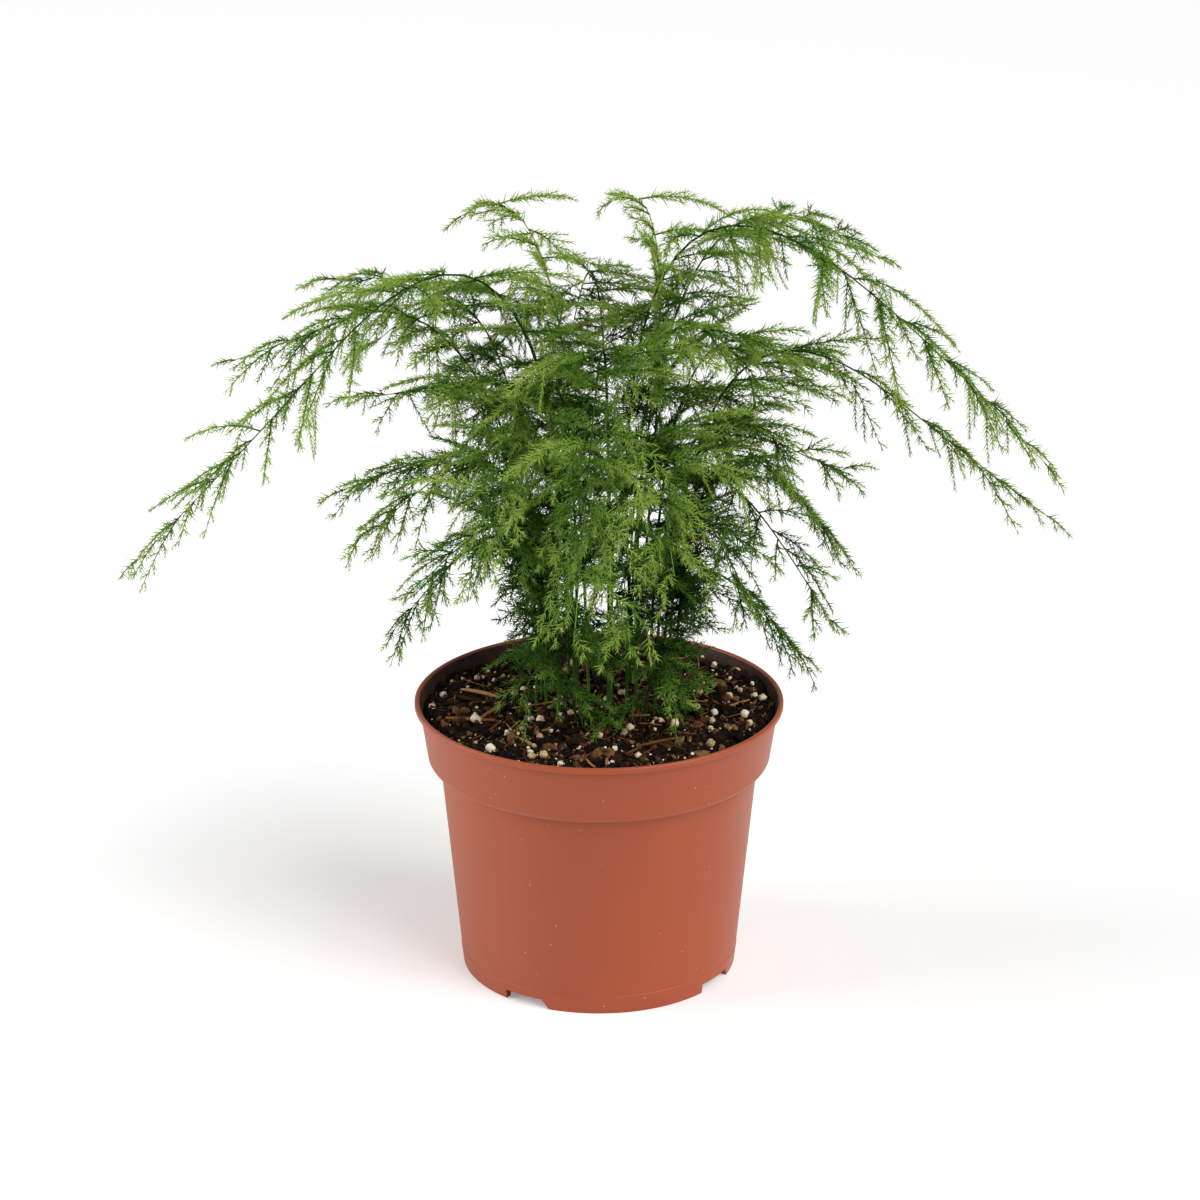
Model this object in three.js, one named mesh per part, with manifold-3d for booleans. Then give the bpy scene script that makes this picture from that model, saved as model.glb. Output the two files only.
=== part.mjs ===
// Potted asparagus fern: a 12 cm nursery pot filled with potting soil, with a clump of arching fronds.
// Millimetres, +Z up. The origin lies on the ground, on the pot's axis. The front is -Y, the right is +X.
// Each frond is one solid: its stem, its sprays, the twigs of the sprays and their needles grow into each other.

import * as THREE from "three";
import { mergeVertices } from "three/addons/utils/BufferGeometryUtils.js";
import Module from "manifold-3d";

const wasm = await Module();
wasm.setup();

// Pot: outside sizes of a standard 12 cm injection-moulded nursery pot.
const POT_HEIGHT = 92;
const RIM_RADIUS = 60;
const LIP_HEIGHT = 2.2;
const COLLAR_TOP_RADIUS = 57.6;
const COLLAR_BOTTOM_RADIUS = 55.2;
const COLLAR_BOTTOM = 73;
const WALL_TOP_RADIUS = 51.8;
const WALL_TOP = 70.4;
const FOOT_RADIUS = 45;
const FOOT_RING_WIDTH = 2.4;
const FLOOR_UNDERSIDE = 4;
const WALL_THICKNESS = 1.5;
const LIP_ROUND = 1.2;
const LIP_INNER_RADIUS = 57;
const STEP_CHAMFER = [0.7, 1.1];
const FOOT_TAPER = 0.4;
const POT_SEGMENTS = 36;

// Corners of the pot's inside, as radius and height, from the floor up to the lip.
const FLOOR_TOP = FLOOR_UNDERSIDE + WALL_THICKNESS;
const FLOOR_CORNER = [FOOT_RADIUS - 3, FLOOR_TOP];
const BASE_CORNER = [FOOT_RADIUS - 0.8, FLOOR_TOP + 3];
const NECK_CORNER = [WALL_TOP_RADIUS - WALL_THICKNESS, WALL_TOP - 0.8];
const LEDGE_CORNER = [COLLAR_BOTTOM_RADIUS - WALL_THICKNESS, COLLAR_BOTTOM - 0.6];
const LIP_CORNER = [COLLAR_TOP_RADIUS - WALL_THICKNESS, POT_HEIGHT - 1];

// Foot notches: four, a quarter turn apart, each with one upright and one slanted side.
const NOTCH_COUNT = 4;
const NOTCH_FIRST_ANGLE = -121;
const NOTCH_WIDTH = 17;
const NOTCH_SLANT = 3;
const NOTCH_HEIGHT = 3.3;
const NOTCH_BELOW = 1;
const NOTCH_BEYOND = 3;
const NOTCH_DEPTH = 14;

// Drain holes in the floor, in one circle.
const DRAIN_COUNT = 8;
const DRAIN_RADIUS = 4;
const DRAIN_CIRCLE = 29;
const DRAIN_SIDES = 6;

// Soil: it nearly fills the pot, with a low mound under the clump and a hollow at the back on the left.
const SOIL_EDGE = 89.2;
const SOIL_MOUND = 1.4;
const MOUND_CENTRE = [5, 8];
const MOUND_SPREAD = 26;
const SOIL_HOLLOW = 2.4;
const HOLLOW_CENTRE = [-27, 46];
const HOLLOW_SPREAD = 28;
const SOIL_ROUGHNESS = 0.5;
const SOIL_RINGS = 4;
const FIT_GAP = 0.3;
const SOIL_SEED = 97;

// Perlite grains and bark chips that stand out of the soil, with their least and most sizes and radii.
const GRAIN_COUNT = 18;
const GRAIN_SIZES = [0.9, 1.9];
const GRAIN_RING = [24, 51];
const CHIP_COUNT = 8;
const CHIP_LENGTHS = [5, 12];
const CHIP_WIDTHS = [1, 2.4];
const CHIP_THICK = 1.2;
const CHIP_TILT = 0.2;
const CHIP_RING = [24, 46];

// Fronds: the thicknesses are from the middle to a corner of the three-sided stems, sprays and spikes.
const STEM_ROOT = 76;
const STEM_THICK = 0.95;
const STEM_THIN = 0.55;
const BARE_RINGS = [0.3, 0.6, 0.9];
const SPRAY_THICK = 0.55;
const SPRAY_THIN = 0.45;
const SHORT_SPRAY = 17;
const SPIKE_THICK = 0.4;
const JOINT_HEIGHT = 1;
const TWIG_LONGEST = 15;
const TWIG_LEAN = 52;
const NEEDLE_LENGTH = 5;
const NEEDLE_LEAN = 55;
const LEAST_FACING = 0.2;
const HOLE_CLEARANCE = 1.2;
const HOLE_HEIGHT = 20;

// How the sprays fan out from a stem, from the lowest to the tip, and how they rise and droop.
const FAN_WIDEST = 104;
const FAN_NARROWEST = 30;
const FAN_SCATTER = 18;
const RISE_SCATTER = 0.28;
const RISE_MIDDLE = 0.35;
const LENGTH_SCATTER = 0.4;
const DROOP_LEAST = 0.1;
const DROOP_SCATTER = 0.28;
const STEEPEST_FALL = -0.75;
const STEEPEST_RISE = 0.25;

// Room kept over the pot and the soil, and from the rim inward and outward.
const RIM_ROOM = 1.5;
const RIM_INWARD = 5;
const RIM_OUTWARD = 2;
const SOIL_ROOM = 3;

// Room kept between fronds and within one, checked at beads along their curves past each root stretch.
const CLEAR_GAP = 0.5;
const OWN_GAP = 0.25;
const SPRAY_ROOT_STRETCH = 3.5;
const SPIKE_ROOT_STRETCH = 2.2;
const BEAD_STEP = 0.8;
const LIFTS = [0, 0.1, -0.1, 0.2, -0.2, 0.3, -0.3, 0.42, -0.42, 0.55, -0.55, 0.7];

// Every frond: name, root x and y, heading in degrees from +X, then reach and height of the three
// points that draw its arch (knee, shoulder and tip), the lift of its tip, the bare share of its stem,
// the length of its longest spray, the number of sprays, the roll of its plane in degrees, and a seed.
const FRONDS = [
  ["frond_right_high", 14, 8, -25, [-25, 282], [35, 296], [138, 177], 9, 0.53, 50, 15, -12, 7],
  ["frond_right_back", 10, 20, 31, [0, 246], [40, 273], [101, 210], 8, 0.42, 34, 13, -14, 194],
  ["frond_right_low", 20, 12, -17, [5, 244], [49, 239], [131, 144], 16, 0.33, 34, 12, -22, 343],
  ["frond_right_mid", 19, 5, -35, [-2, 231], [34, 184], [74, 178], 5, 0.4, 33, 10, 21, 116],
  ["frond_right_shoulder", 24, 16, -11, [4, 205], [28, 178], [56, 137], 4, 0.39, 40, 10, -27, 834],
  ["frond_right_skirt", 23, 1, -44, [-3, 199], [24, 186], [71, 131], 2, 0.31, 26, 10, 20, 167],
  ["frond_right_hem", 26, 9, -22, [-6, 163], [20, 134], [46, 103], 4, 0.34, 22, 8, -12, 528],
  ["frond_left_long", -8, 10, 203, [-1, 265], [45, 295], [149, 124], 30, 0.54, 38, 15, 10, 495],
  ["frond_left_high", -14, 14, 184, [6, 210], [50, 264], [106, 178], 25, 0.41, 34, 12, 30, 185],
  ["frond_left_back", -12, 21, 161, [23, 231], [13, 216], [89, 227], -9, 0.49, 32, 11, 28, 229],
  ["frond_left_mid", -13, 7, 194, [-1, 241], [21, 190], [74, 198], 0, 0.3, 26, 10, 7, 153],
  ["frond_left_shoulder", -17, 3, 209, [1, 213], [33, 177], [70, 153], 2, 0.44, 34, 10, -2, 31],
  ["frond_left_skirt", -19, 9, 180, [-4, 196], [27, 176], [66, 158], 1, 0.41, 34, 10, 6, 865],
  ["frond_left_hem", -21, -1, 214, [-6, 172], [16, 161], [56, 124], 0, 0.36, 27, 8, 21, 41],
  ["frond_young_left", -3, 12, 166, [4, 222], [14, 272], [45, 245], 0, 0.55, 26, 10, 5, 324],
  ["frond_young_back", 10, 18, 172, [-14, 226], [-14, 270], [9, 251], 0, 0.55, 26, 10, 12, 441],
  ["frond_crown_left", -7, 2, 230, [0, 232], [6, 212], [54, 176], 0, 0.46, 42, 9, 30, 171],
  ["frond_crown_right", 9, 3, 330, [0, 236], [20, 239], [47, 203], 0, 0.37, 53, 9, 11, 341],
  ["frond_front_high", 3, -3, 264, [-6, 238], [6, 258], [100, 144], 6, 0.42, 49, 12, 30, 860],
  ["frond_front_left", -8, -4, 247, [-4, 208], [51, 214], [79, 154], 4, 0.32, 39, 11, 17, 653],
  ["frond_front_right", 12, -5, 278, [-4, 222], [35, 200], [77, 160], 4, 0.44, 47, 11, 20, 726],
  ["frond_front_low_left", -13, -9, 230, [-2, 168], [24, 178], [72, 147], 2, 0.3, 33, 9, -30, 186],
  ["frond_front_low", 4, -11, 274, [-4, 180], [19, 179], [79, 140], 2, 0.34, 31, 10, -26, 332],
  ["frond_front_low_right", 18, -8, 306, [-2, 178], [31, 182], [45, 135], 2, 0.3, 37, 9, -13, 158],
  ["frond_back_high", 4, 25, 107, [0, 238], [20, 262], [56, 166], 6, 0.4, 30, 10, 6, 38],
  ["frond_back_left", -10, 27, 135, [0, 224], [29, 252], [107, 166], 6, 0.34, 34, 9, 0, 72],
  ["frond_back_right", 17, 26, 45, [0, 224], [38, 215], [85, 162], 6, 0.3, 48, 9, -12, 112],
  ["sprig_front_left", -6, -14, 226, [3, 118], [18, 122], [27, 104], 0, 0.3, 13, 6, 0, 61],
  ["sprig_front_right", 14, -12, 300, [3, 118], [16, 122], [23, 104], 0, 0.3, 13, 6, 0, 64],
].map(([name, x, y, heading, knee, shoulder, tip, flare, bare, spread, sprays, roll, seed]) => {
  return { name, x, y, heading, knee, shoulder, tip, flare, bare, spread, sprays, roll, seed };
});

const UP = new THREE.Vector3(0, 0, 1);
const SIDEWAYS = new THREE.Vector3(0.6, 0.8, 0);
const radians = THREE.MathUtils.degToRad;
const mix = THREE.MathUtils.lerp;
const clamp = THREE.MathUtils.clamp;

// A repeatable stream of draws between 0 and 1: the Park and Miller generator.
function drawsFrom(seed) {
  let state = (seed * 7919) % 2147483647;
  return () => {
    state = (state * 16807) % 2147483647;
    return state / 2147483647;
  };
}

// A three.js geometry as a manifold solid, with doubled corners merged and empty triangles dropped.
function solidFrom(geometry) {
  const bare = geometry.clone();
  bare.deleteAttribute("normal");
  bare.deleteAttribute("uv");
  const merged = mergeVertices(bare, 1e-4);
  const index = merged.index.array;
  const corners = [];
  for (let i = 0; i < index.length; i += 3) {
    const [a, b, c] = [index[i], index[i + 1], index[i + 2]];
    if (a !== b && b !== c && c !== a) corners.push(a, b, c);
  }
  const mesh = new wasm.Mesh({
    numProp: 3,
    vertProperties: new Float32Array(merged.attributes.position.array),
    triVerts: new Uint32Array(corners),
  });
  return new wasm.Manifold(mesh);
}

// A named mesh with a material of its own.
function node(name, geometry, colour, roughness) {
  const material = new THREE.MeshStandardMaterial({ color: colour, roughness, metalness: 0 });
  const mesh = new THREE.Mesh(geometry, material);
  mesh.name = name;
  return mesh;
}

// The same from a manifold solid.
function solidNode(name, solid, colour, roughness) {
  const { vertProperties, triVerts } = solid.getMesh();
  const geometry = new THREE.BufferGeometry();
  geometry.setAttribute("position", new THREE.BufferAttribute(vertProperties, 3));
  geometry.setIndex(new THREE.BufferAttribute(triVerts, 1));
  geometry.computeVertexNormals();
  return node(name, geometry, colour, roughness);
}

// A profile of [radius, height] points turned round the pot's axis.
function turned(profile, segments) {
  const points = profile.map(([radius, height]) => new THREE.Vector2(radius, height));
  return new THREE.LatheGeometry(points, segments).rotateX(Math.PI / 2);
}

// Pot

function potShell() {
  const lipUnder = POT_HEIGHT - LIP_HEIGHT;
  const innerFoot = FOOT_RADIUS - FOOT_RING_WIDTH;
  const outside = [
    [FOOT_RADIUS, 0],
    [WALL_TOP_RADIUS, WALL_TOP],
    [COLLAR_BOTTOM_RADIUS - STEP_CHAMFER[0], COLLAR_BOTTOM - STEP_CHAMFER[1]],
    [COLLAR_BOTTOM_RADIUS, COLLAR_BOTTOM],
    [COLLAR_TOP_RADIUS, lipUnder],
    [RIM_RADIUS - 0.4 * LIP_ROUND, lipUnder + LIP_ROUND / 4],
    [RIM_RADIUS, POT_HEIGHT - LIP_ROUND],
    [RIM_RADIUS - LIP_ROUND / 3, POT_HEIGHT - LIP_ROUND / 4],
    [RIM_RADIUS - LIP_ROUND, POT_HEIGHT],
  ];
  const inside = [
    [LIP_INNER_RADIUS, POT_HEIGHT],
    LIP_CORNER,
    LEDGE_CORNER,
    NECK_CORNER,
    BASE_CORNER,
    FLOOR_CORNER,
    [0, FLOOR_TOP],
  ];
  const underside = [
    [0, FLOOR_UNDERSIDE],
    [innerFoot - FOOT_TAPER, FLOOR_UNDERSIDE],
    [innerFoot, 0],
    [FOOT_RADIUS, 0],
  ];
  return solidFrom(turned([...outside, ...inside, ...underside], POT_SEGMENTS));
}

// One foot notch: its outline across the ring, pushed outward through the ring at the given angle.
function footNotch(angle) {
  const half = NOTCH_WIDTH / 2;
  const outline = new THREE.Shape();
  outline.moveTo(-half, -NOTCH_BELOW);
  outline.lineTo(half, -NOTCH_BELOW);
  outline.lineTo(half - NOTCH_SLANT, NOTCH_HEIGHT);
  outline.lineTo(-half, NOTCH_HEIGHT);
  outline.closePath();
  const geometry = new THREE.ExtrudeGeometry(outline, { depth: NOTCH_DEPTH, bevelEnabled: false });
  geometry.translate(0, 0, FOOT_RADIUS - NOTCH_DEPTH + NOTCH_BEYOND);
  const outward = new THREE.Vector3(Math.cos(angle), Math.sin(angle), 0);
  const along = new THREE.Vector3().crossVectors(UP, outward);
  geometry.applyMatrix4(new THREE.Matrix4().makeBasis(along, UP, outward));
  return solidFrom(geometry);
}

function drainHole(angle) {
  const tall = 3 * WALL_THICKNESS;
  const geometry = new THREE.CylinderGeometry(DRAIN_RADIUS, DRAIN_RADIUS, tall, DRAIN_SIDES);
  geometry.rotateX(Math.PI / 2);
  const middle = FLOOR_UNDERSIDE + WALL_THICKNESS / 2;
  geometry.translate(DRAIN_CIRCLE * Math.cos(angle), DRAIN_CIRCLE * Math.sin(angle), middle);
  return solidFrom(geometry);
}

function pot() {
  const cuts = [];
  for (let i = 0; i < NOTCH_COUNT; i++) {
    cuts.push(footNotch(radians(NOTCH_FIRST_ANGLE + (360 / NOTCH_COUNT) * i)));
  }
  for (let i = 0; i < DRAIN_COUNT; i++) {
    cuts.push(drainHole(radians((360 / DRAIN_COUNT) * (i + 0.5))));
  }
  return potShell().subtract(wasm.Manifold.union(cuts));
}

// Soil

// Height of the soil's surface, without its grains.
function soilHeight(x, y) {
  const fromMound = Math.hypot(x - MOUND_CENTRE[0], y - MOUND_CENTRE[1]);
  const mound = SOIL_MOUND * Math.exp(-((fromMound / MOUND_SPREAD) ** 2));
  const fromHollow = Math.hypot(x - HOLLOW_CENTRE[0], y - HOLLOW_CENTRE[1]);
  const hollow = SOIL_HOLLOW * Math.exp(-((fromHollow / HOLLOW_SPREAD) ** 2));
  const lumps = Math.sin(x * 0.21 + 1.3) * Math.cos(y * 0.19) + Math.sin(x * 0.12 - y * 0.16);
  return SOIL_EDGE + mound - hollow + SOIL_ROUGHNESS * lumps;
}

// A corner of the soil's side: the pot's inner corner, less the gap and raised off the step below it.
function besidePot([radius, height], raised) {
  return [radius - FIT_GAP, height + raised];
}

// The soil has the pot's segments, so that the gap between them is even. Its edge clears the wall's
// slant at the lowest height that it has in the hollow.
function soilBody() {
  const lowest = SOIL_EDGE - SOIL_HOLLOW - 2 * SOIL_ROUGHNESS;
  const rise = (lowest - LEDGE_CORNER[1]) / (LIP_CORNER[1] - LEDGE_CORNER[1]);
  const edge = mix(LEDGE_CORNER[0], LIP_CORNER[0], rise) - FIT_GAP;
  const profile = [
    [0, FLOOR_TOP + FIT_GAP],
    besidePot(FLOOR_CORNER, FIT_GAP),
    besidePot(BASE_CORNER, 0),
    besidePot(NECK_CORNER, FIT_GAP),
    besidePot(LEDGE_CORNER, 2 * FIT_GAP),
  ];
  for (let ring = SOIL_RINGS; ring >= 0; ring--) profile.push([(edge * ring) / SOIL_RINGS, SOIL_EDGE]);
  const geometry = turned(profile, POT_SEGMENTS);
  const spots = geometry.attributes.position;
  for (let i = 0; i < spots.count; i++) {
    if (spots.getZ(i) > SOIL_EDGE - 0.01) spots.setZ(i, soilHeight(spots.getX(i), spots.getY(i)));
  }
  return solidFrom(geometry);
}

// Puts a bump on the soil's surface, at a drawn place within a ring.
function putOnSoil(geometry, draw, [nearest, farthest]) {
  const angle = 2 * Math.PI * draw();
  const radius = mix(nearest, farthest, Math.sqrt(draw()));
  const x = radius * Math.cos(angle);
  const y = radius * Math.sin(angle);
  geometry.translate(x, y, soilHeight(x, y));
  return solidFrom(geometry);
}

// Perlite grains are irregular octahedra, bark chips and fibres are slim blocks.
function soilBumps() {
  const draw = drawsFrom(SOIL_SEED);
  const bumps = [];
  for (let i = 0; i < GRAIN_COUNT; i++) {
    const grain = new THREE.OctahedronGeometry(mix(...GRAIN_SIZES, draw()));
    grain.scale(1, mix(0.7, 1, draw()), mix(0.6, 0.9, draw()));
    grain.rotateX(2 * Math.PI * draw());
    grain.rotateZ(2 * Math.PI * draw());
    bumps.push(putOnSoil(grain, draw, GRAIN_RING));
  }
  for (let i = 0; i < CHIP_COUNT; i++) {
    const chip = new THREE.BoxGeometry(mix(...CHIP_LENGTHS, draw()), mix(...CHIP_WIDTHS, draw()), CHIP_THICK);
    chip.rotateY(mix(-CHIP_TILT, CHIP_TILT, draw()));
    chip.rotateZ(2 * Math.PI * draw());
    bumps.push(putOnSoil(chip, draw, CHIP_RING));
  }
  return bumps;
}

// A plain hole for one stem: a square peg of air along the stem's first stretch, up through the surface.
function stemHole(frond) {
  const curve = new StemCurve(frond);
  const start = curve.getPoint(0);
  const along = curve.getTangent(0);
  const radius = STEM_THICK + HOLE_CLEARANCE;
  const geometry = new THREE.CylinderGeometry(radius, radius, HOLE_HEIGHT, 4);
  geometry.translate(0, HOLE_HEIGHT / 2 - HOLE_CLEARANCE, 0);
  geometry.applyQuaternion(new THREE.Quaternion().setFromUnitVectors(new THREE.Vector3(0, 1, 0), along));
  geometry.translate(start.x, start.y, start.z);
  return solidFrom(geometry);
}

// The soil in one body: a scrap that the holes cut loose is dropped.
function soil() {
  const solid = wasm.Manifold.union([soilBody(), ...soilBumps()]);
  const bored = solid.subtract(wasm.Manifold.union(FRONDS.map(stemHole)));
  const bodies = bored.decompose().sort((one, other) => other.volume() - one.volume());
  return bodies[0];
}

// Fronds

// The middle line of a frond's stem: a cubic arch in the upright plane of its heading, lifted at the tip.
class StemCurve extends THREE.Curve {
  constructor(frond) {
    super();
    this.frond = frond;
  }

  getPoint(t, target = new THREE.Vector3()) {
    const { x, y, heading, knee, shoulder, tip, flare } = this.frond;
    const u = 1 - t;
    const [a, b, c, d] = [u ** 3, 3 * u * u * t, 3 * u * t * t, t ** 3];
    const reach = b * knee[0] + c * shoulder[0] + d * tip[0];
    const lift = flare * clamp((t - 0.75) / 0.25, 0, 1) ** 2;
    const height = a * STEM_ROOT + b * knee[1] + c * shoulder[1] + d * tip[1] + lift;
    const turn = radians(heading);
    return target.set(x + reach * Math.cos(turn), y + reach * Math.sin(turn), height);
  }
}

// Straight lines through points, which is how the three-sided skins follow their curves.
function brokenLine(points) {
  const path = new THREE.CurvePath();
  for (let i = 1; i < points.length; i++) path.add(new THREE.LineCurve3(points[i - 1], points[i]));
  return path;
}

// Where a spray leaves its stem, as a share of the stem's length.
function shareOf(frond, place) {
  return frond.bare + (1 - frond.bare) * place ** 0.85;
}

// How long a spray is, by its place between the frond's lowest spray at 0 and its tip at 1.
function sprayShare(place) {
  return Math.min(1, 0.55 + 3 * place) * (1 - place) ** 0.75 + 0.14;
}

// The sprays of a frond, before they are bent clear of their neighbours.
function spraysOf(frond) {
  const draw = drawsFrom(frond.seed);
  const turn = radians(frond.heading);
  const roll = radians(frond.roll);
  const sideways = new THREE.Vector3(-Math.sin(turn), Math.cos(turn), 0);
  const across = sideways.multiplyScalar(Math.cos(roll)).addScaledVector(UP, Math.sin(roll));
  const sprays = [];
  for (let i = 0; i < frond.sprays; i++) {
    const place = (i + 0.5) / frond.sprays;
    const share = shareOf(frond, place);
    const root = frond.stem.getPointAt(share);
    const forward = frond.stem.getTangentAt(share);
    forward.setZ(clamp(forward.z, STEEPEST_FALL, STEEPEST_RISE)).normalize();
    const side = i % 2 ? 1 : -1;
    const fan = radians(mix(FAN_WIDEST, FAN_NARROWEST, place ** 0.6) + FAN_SCATTER * (draw() - 0.5));
    const heading = forward.clone().multiplyScalar(Math.cos(fan));
    heading.addScaledVector(across, side * Math.sin(fan)).normalize();
    heading.addScaledVector(UP, RISE_SCATTER * (draw() - RISE_MIDDLE)).normalize();
    const length = frond.spread * sprayShare(place) * (1 + LENGTH_SCATTER * (draw() - 0.5));
    const droop = length * (DROOP_LEAST + DROOP_SCATTER * draw());
    sprays.push({ share, root, forward, heading, length, droop });
  }
  return sprays;
}

// The curve of a spray, raised or lowered by a share of its length.
function sprayCurve({ root, forward, heading, length, droop }, lift) {
  const middle = root.clone().addScaledVector(heading, length * 0.5);
  middle.addScaledVector(UP, length * (0.06 + lift * 0.5));
  const tip = root.clone().addScaledVector(heading, length * 0.92);
  tip.addScaledVector(forward, length * 0.14).addScaledVector(UP, length * lift - droop);
  return new THREE.QuadraticBezierCurve3(root, middle, tip);
}

// Joints are where twigs and needles leave a limb: each has its place along a spray, and the length of
// its two twigs as a share of the spray's. The third side of a joint carries a needle.
const JOINTS = [
  { place: 0.36, twigShare: 0.34 },
  { place: 0.72, twigShare: 0.22 },
];
const SHORT_JOINTS = [{ place: 0.55, twigShare: 0.3 }];

function jointsOf(spray) {
  return spray.length < SHORT_SPRAY ? SHORT_JOINTS : JOINTS;
}

// A straight line that leans forward from a limb, toward one side of it.
function leaningLine(root, along, outward, lean, length) {
  const heading = along.clone().multiplyScalar(Math.cos(radians(lean)));
  heading.addScaledVector(outward, Math.sin(radians(lean)));
  return new THREE.LineCurve3(root, root.clone().addScaledVector(heading, length));
}

// The direction to the left of a spray, in the plane that it spreads in.
function leftOf(along, forward) {
  const normal = new THREE.Vector3().crossVectors(along, forward);
  if (normal.length() < 0.05) normal.copy(UP);
  if (normal.z < 0) normal.negate();
  return normal.normalize().cross(along);
}

// What already stands in a place is kept as beads in a grid of cells, so that nothing is put across it.
const CELL = 4;
const beads = new Map();

function cellOf(x, y, z) {
  return `${Math.floor(x / CELL)} ${Math.floor(y / CELL)} ${Math.floor(z / CELL)}`;
}

// Beads at even steps along a curve, each with its distance from the curve's start.
function beadsAlong(curve) {
  const length = curve.getLength();
  const count = Math.ceil(length / BEAD_STEP);
  return curve.getSpacedPoints(count).map((spot, i) => ({ spot, away: (length * i) / count }));
}

function keepBeads(owner, curve, thick, thin = thick) {
  const all = beadsAlong(curve);
  all.forEach(({ spot }, i) => {
    const key = cellOf(spot.x, spot.y, spot.z);
    if (!beads.has(key)) beads.set(key, []);
    beads.get(key).push({ owner, spot, radius: mix(thick, thin, i / all.length) });
  });
}

// Whether a bead is too close to another frond, or, once past its own root, to its own frond.
function isCrowded(owner, { spot, away }, radius, rootStretch) {
  for (const dx of [-CELL, 0, CELL]) {
    for (const dy of [-CELL, 0, CELL]) {
      for (const dz of [-CELL, 0, CELL]) {
        const near = beads.get(cellOf(spot.x + dx, spot.y + dy, spot.z + dz)) ?? [];
        for (const bead of near) {
          if (bead.owner === owner && away < rootStretch) continue;
          const gap = bead.owner === owner ? OWN_GAP : CLEAR_GAP;
          if (bead.spot.distanceTo(spot) < radius + bead.radius + gap) return true;
        }
      }
    }
  }
  return false;
}

// Whether a spot is in or too close to the pot or the soil.
function isInPot(spot) {
  const radius = Math.hypot(spot.x, spot.y);
  if (radius > RIM_RADIUS + RIM_OUTWARD) return false;
  if (radius > COLLAR_TOP_RADIUS - RIM_INWARD) return spot.z < POT_HEIGHT + RIM_ROOM;
  return spot.z < soilHeight(spot.x, spot.y) + SOIL_ROOM;
}

function isClear(owner, curve, radius, rootStretch) {
  return beadsAlong(curve).every((bead) => {
    return !isInPot(bead.spot) && !isCrowded(owner, bead, radius, rootStretch);
  });
}

// First every stem and then every spray finds its room.
for (const frond of FRONDS) {
  frond.stem = new StemCurve(frond);
  frond.shoots = spraysOf(frond);
  const shares = [0, ...BARE_RINGS.map((part) => part * frond.bare)];
  const points = shares.map((share) => frond.stem.getPointAt(share));
  for (const { root } of frond.shoots) points.push(root);
  keepBeads(frond.name, brokenLine([...points, frond.stem.getPoint(1)]), STEM_THICK, STEM_THIN);
}
for (const frond of FRONDS) {
  frond.limbs = [];
  for (const spray of frond.shoots) {
    for (const lift of LIFTS) {
      const curve = sprayCurve(spray, lift);
      const places = [0, ...jointsOf(spray).map(({ place }) => place), 1];
      const line = brokenLine(places.map((place) => curve.getPoint(place)));
      if (!isClear(frond.name, line, SPRAY_THICK, SPRAY_ROOT_STRETCH)) continue;
      keepBeads(frond.name, line, SPRAY_THICK);
      frond.limbs.push({ spray, curve });
      break;
    }
  }
}

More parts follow.
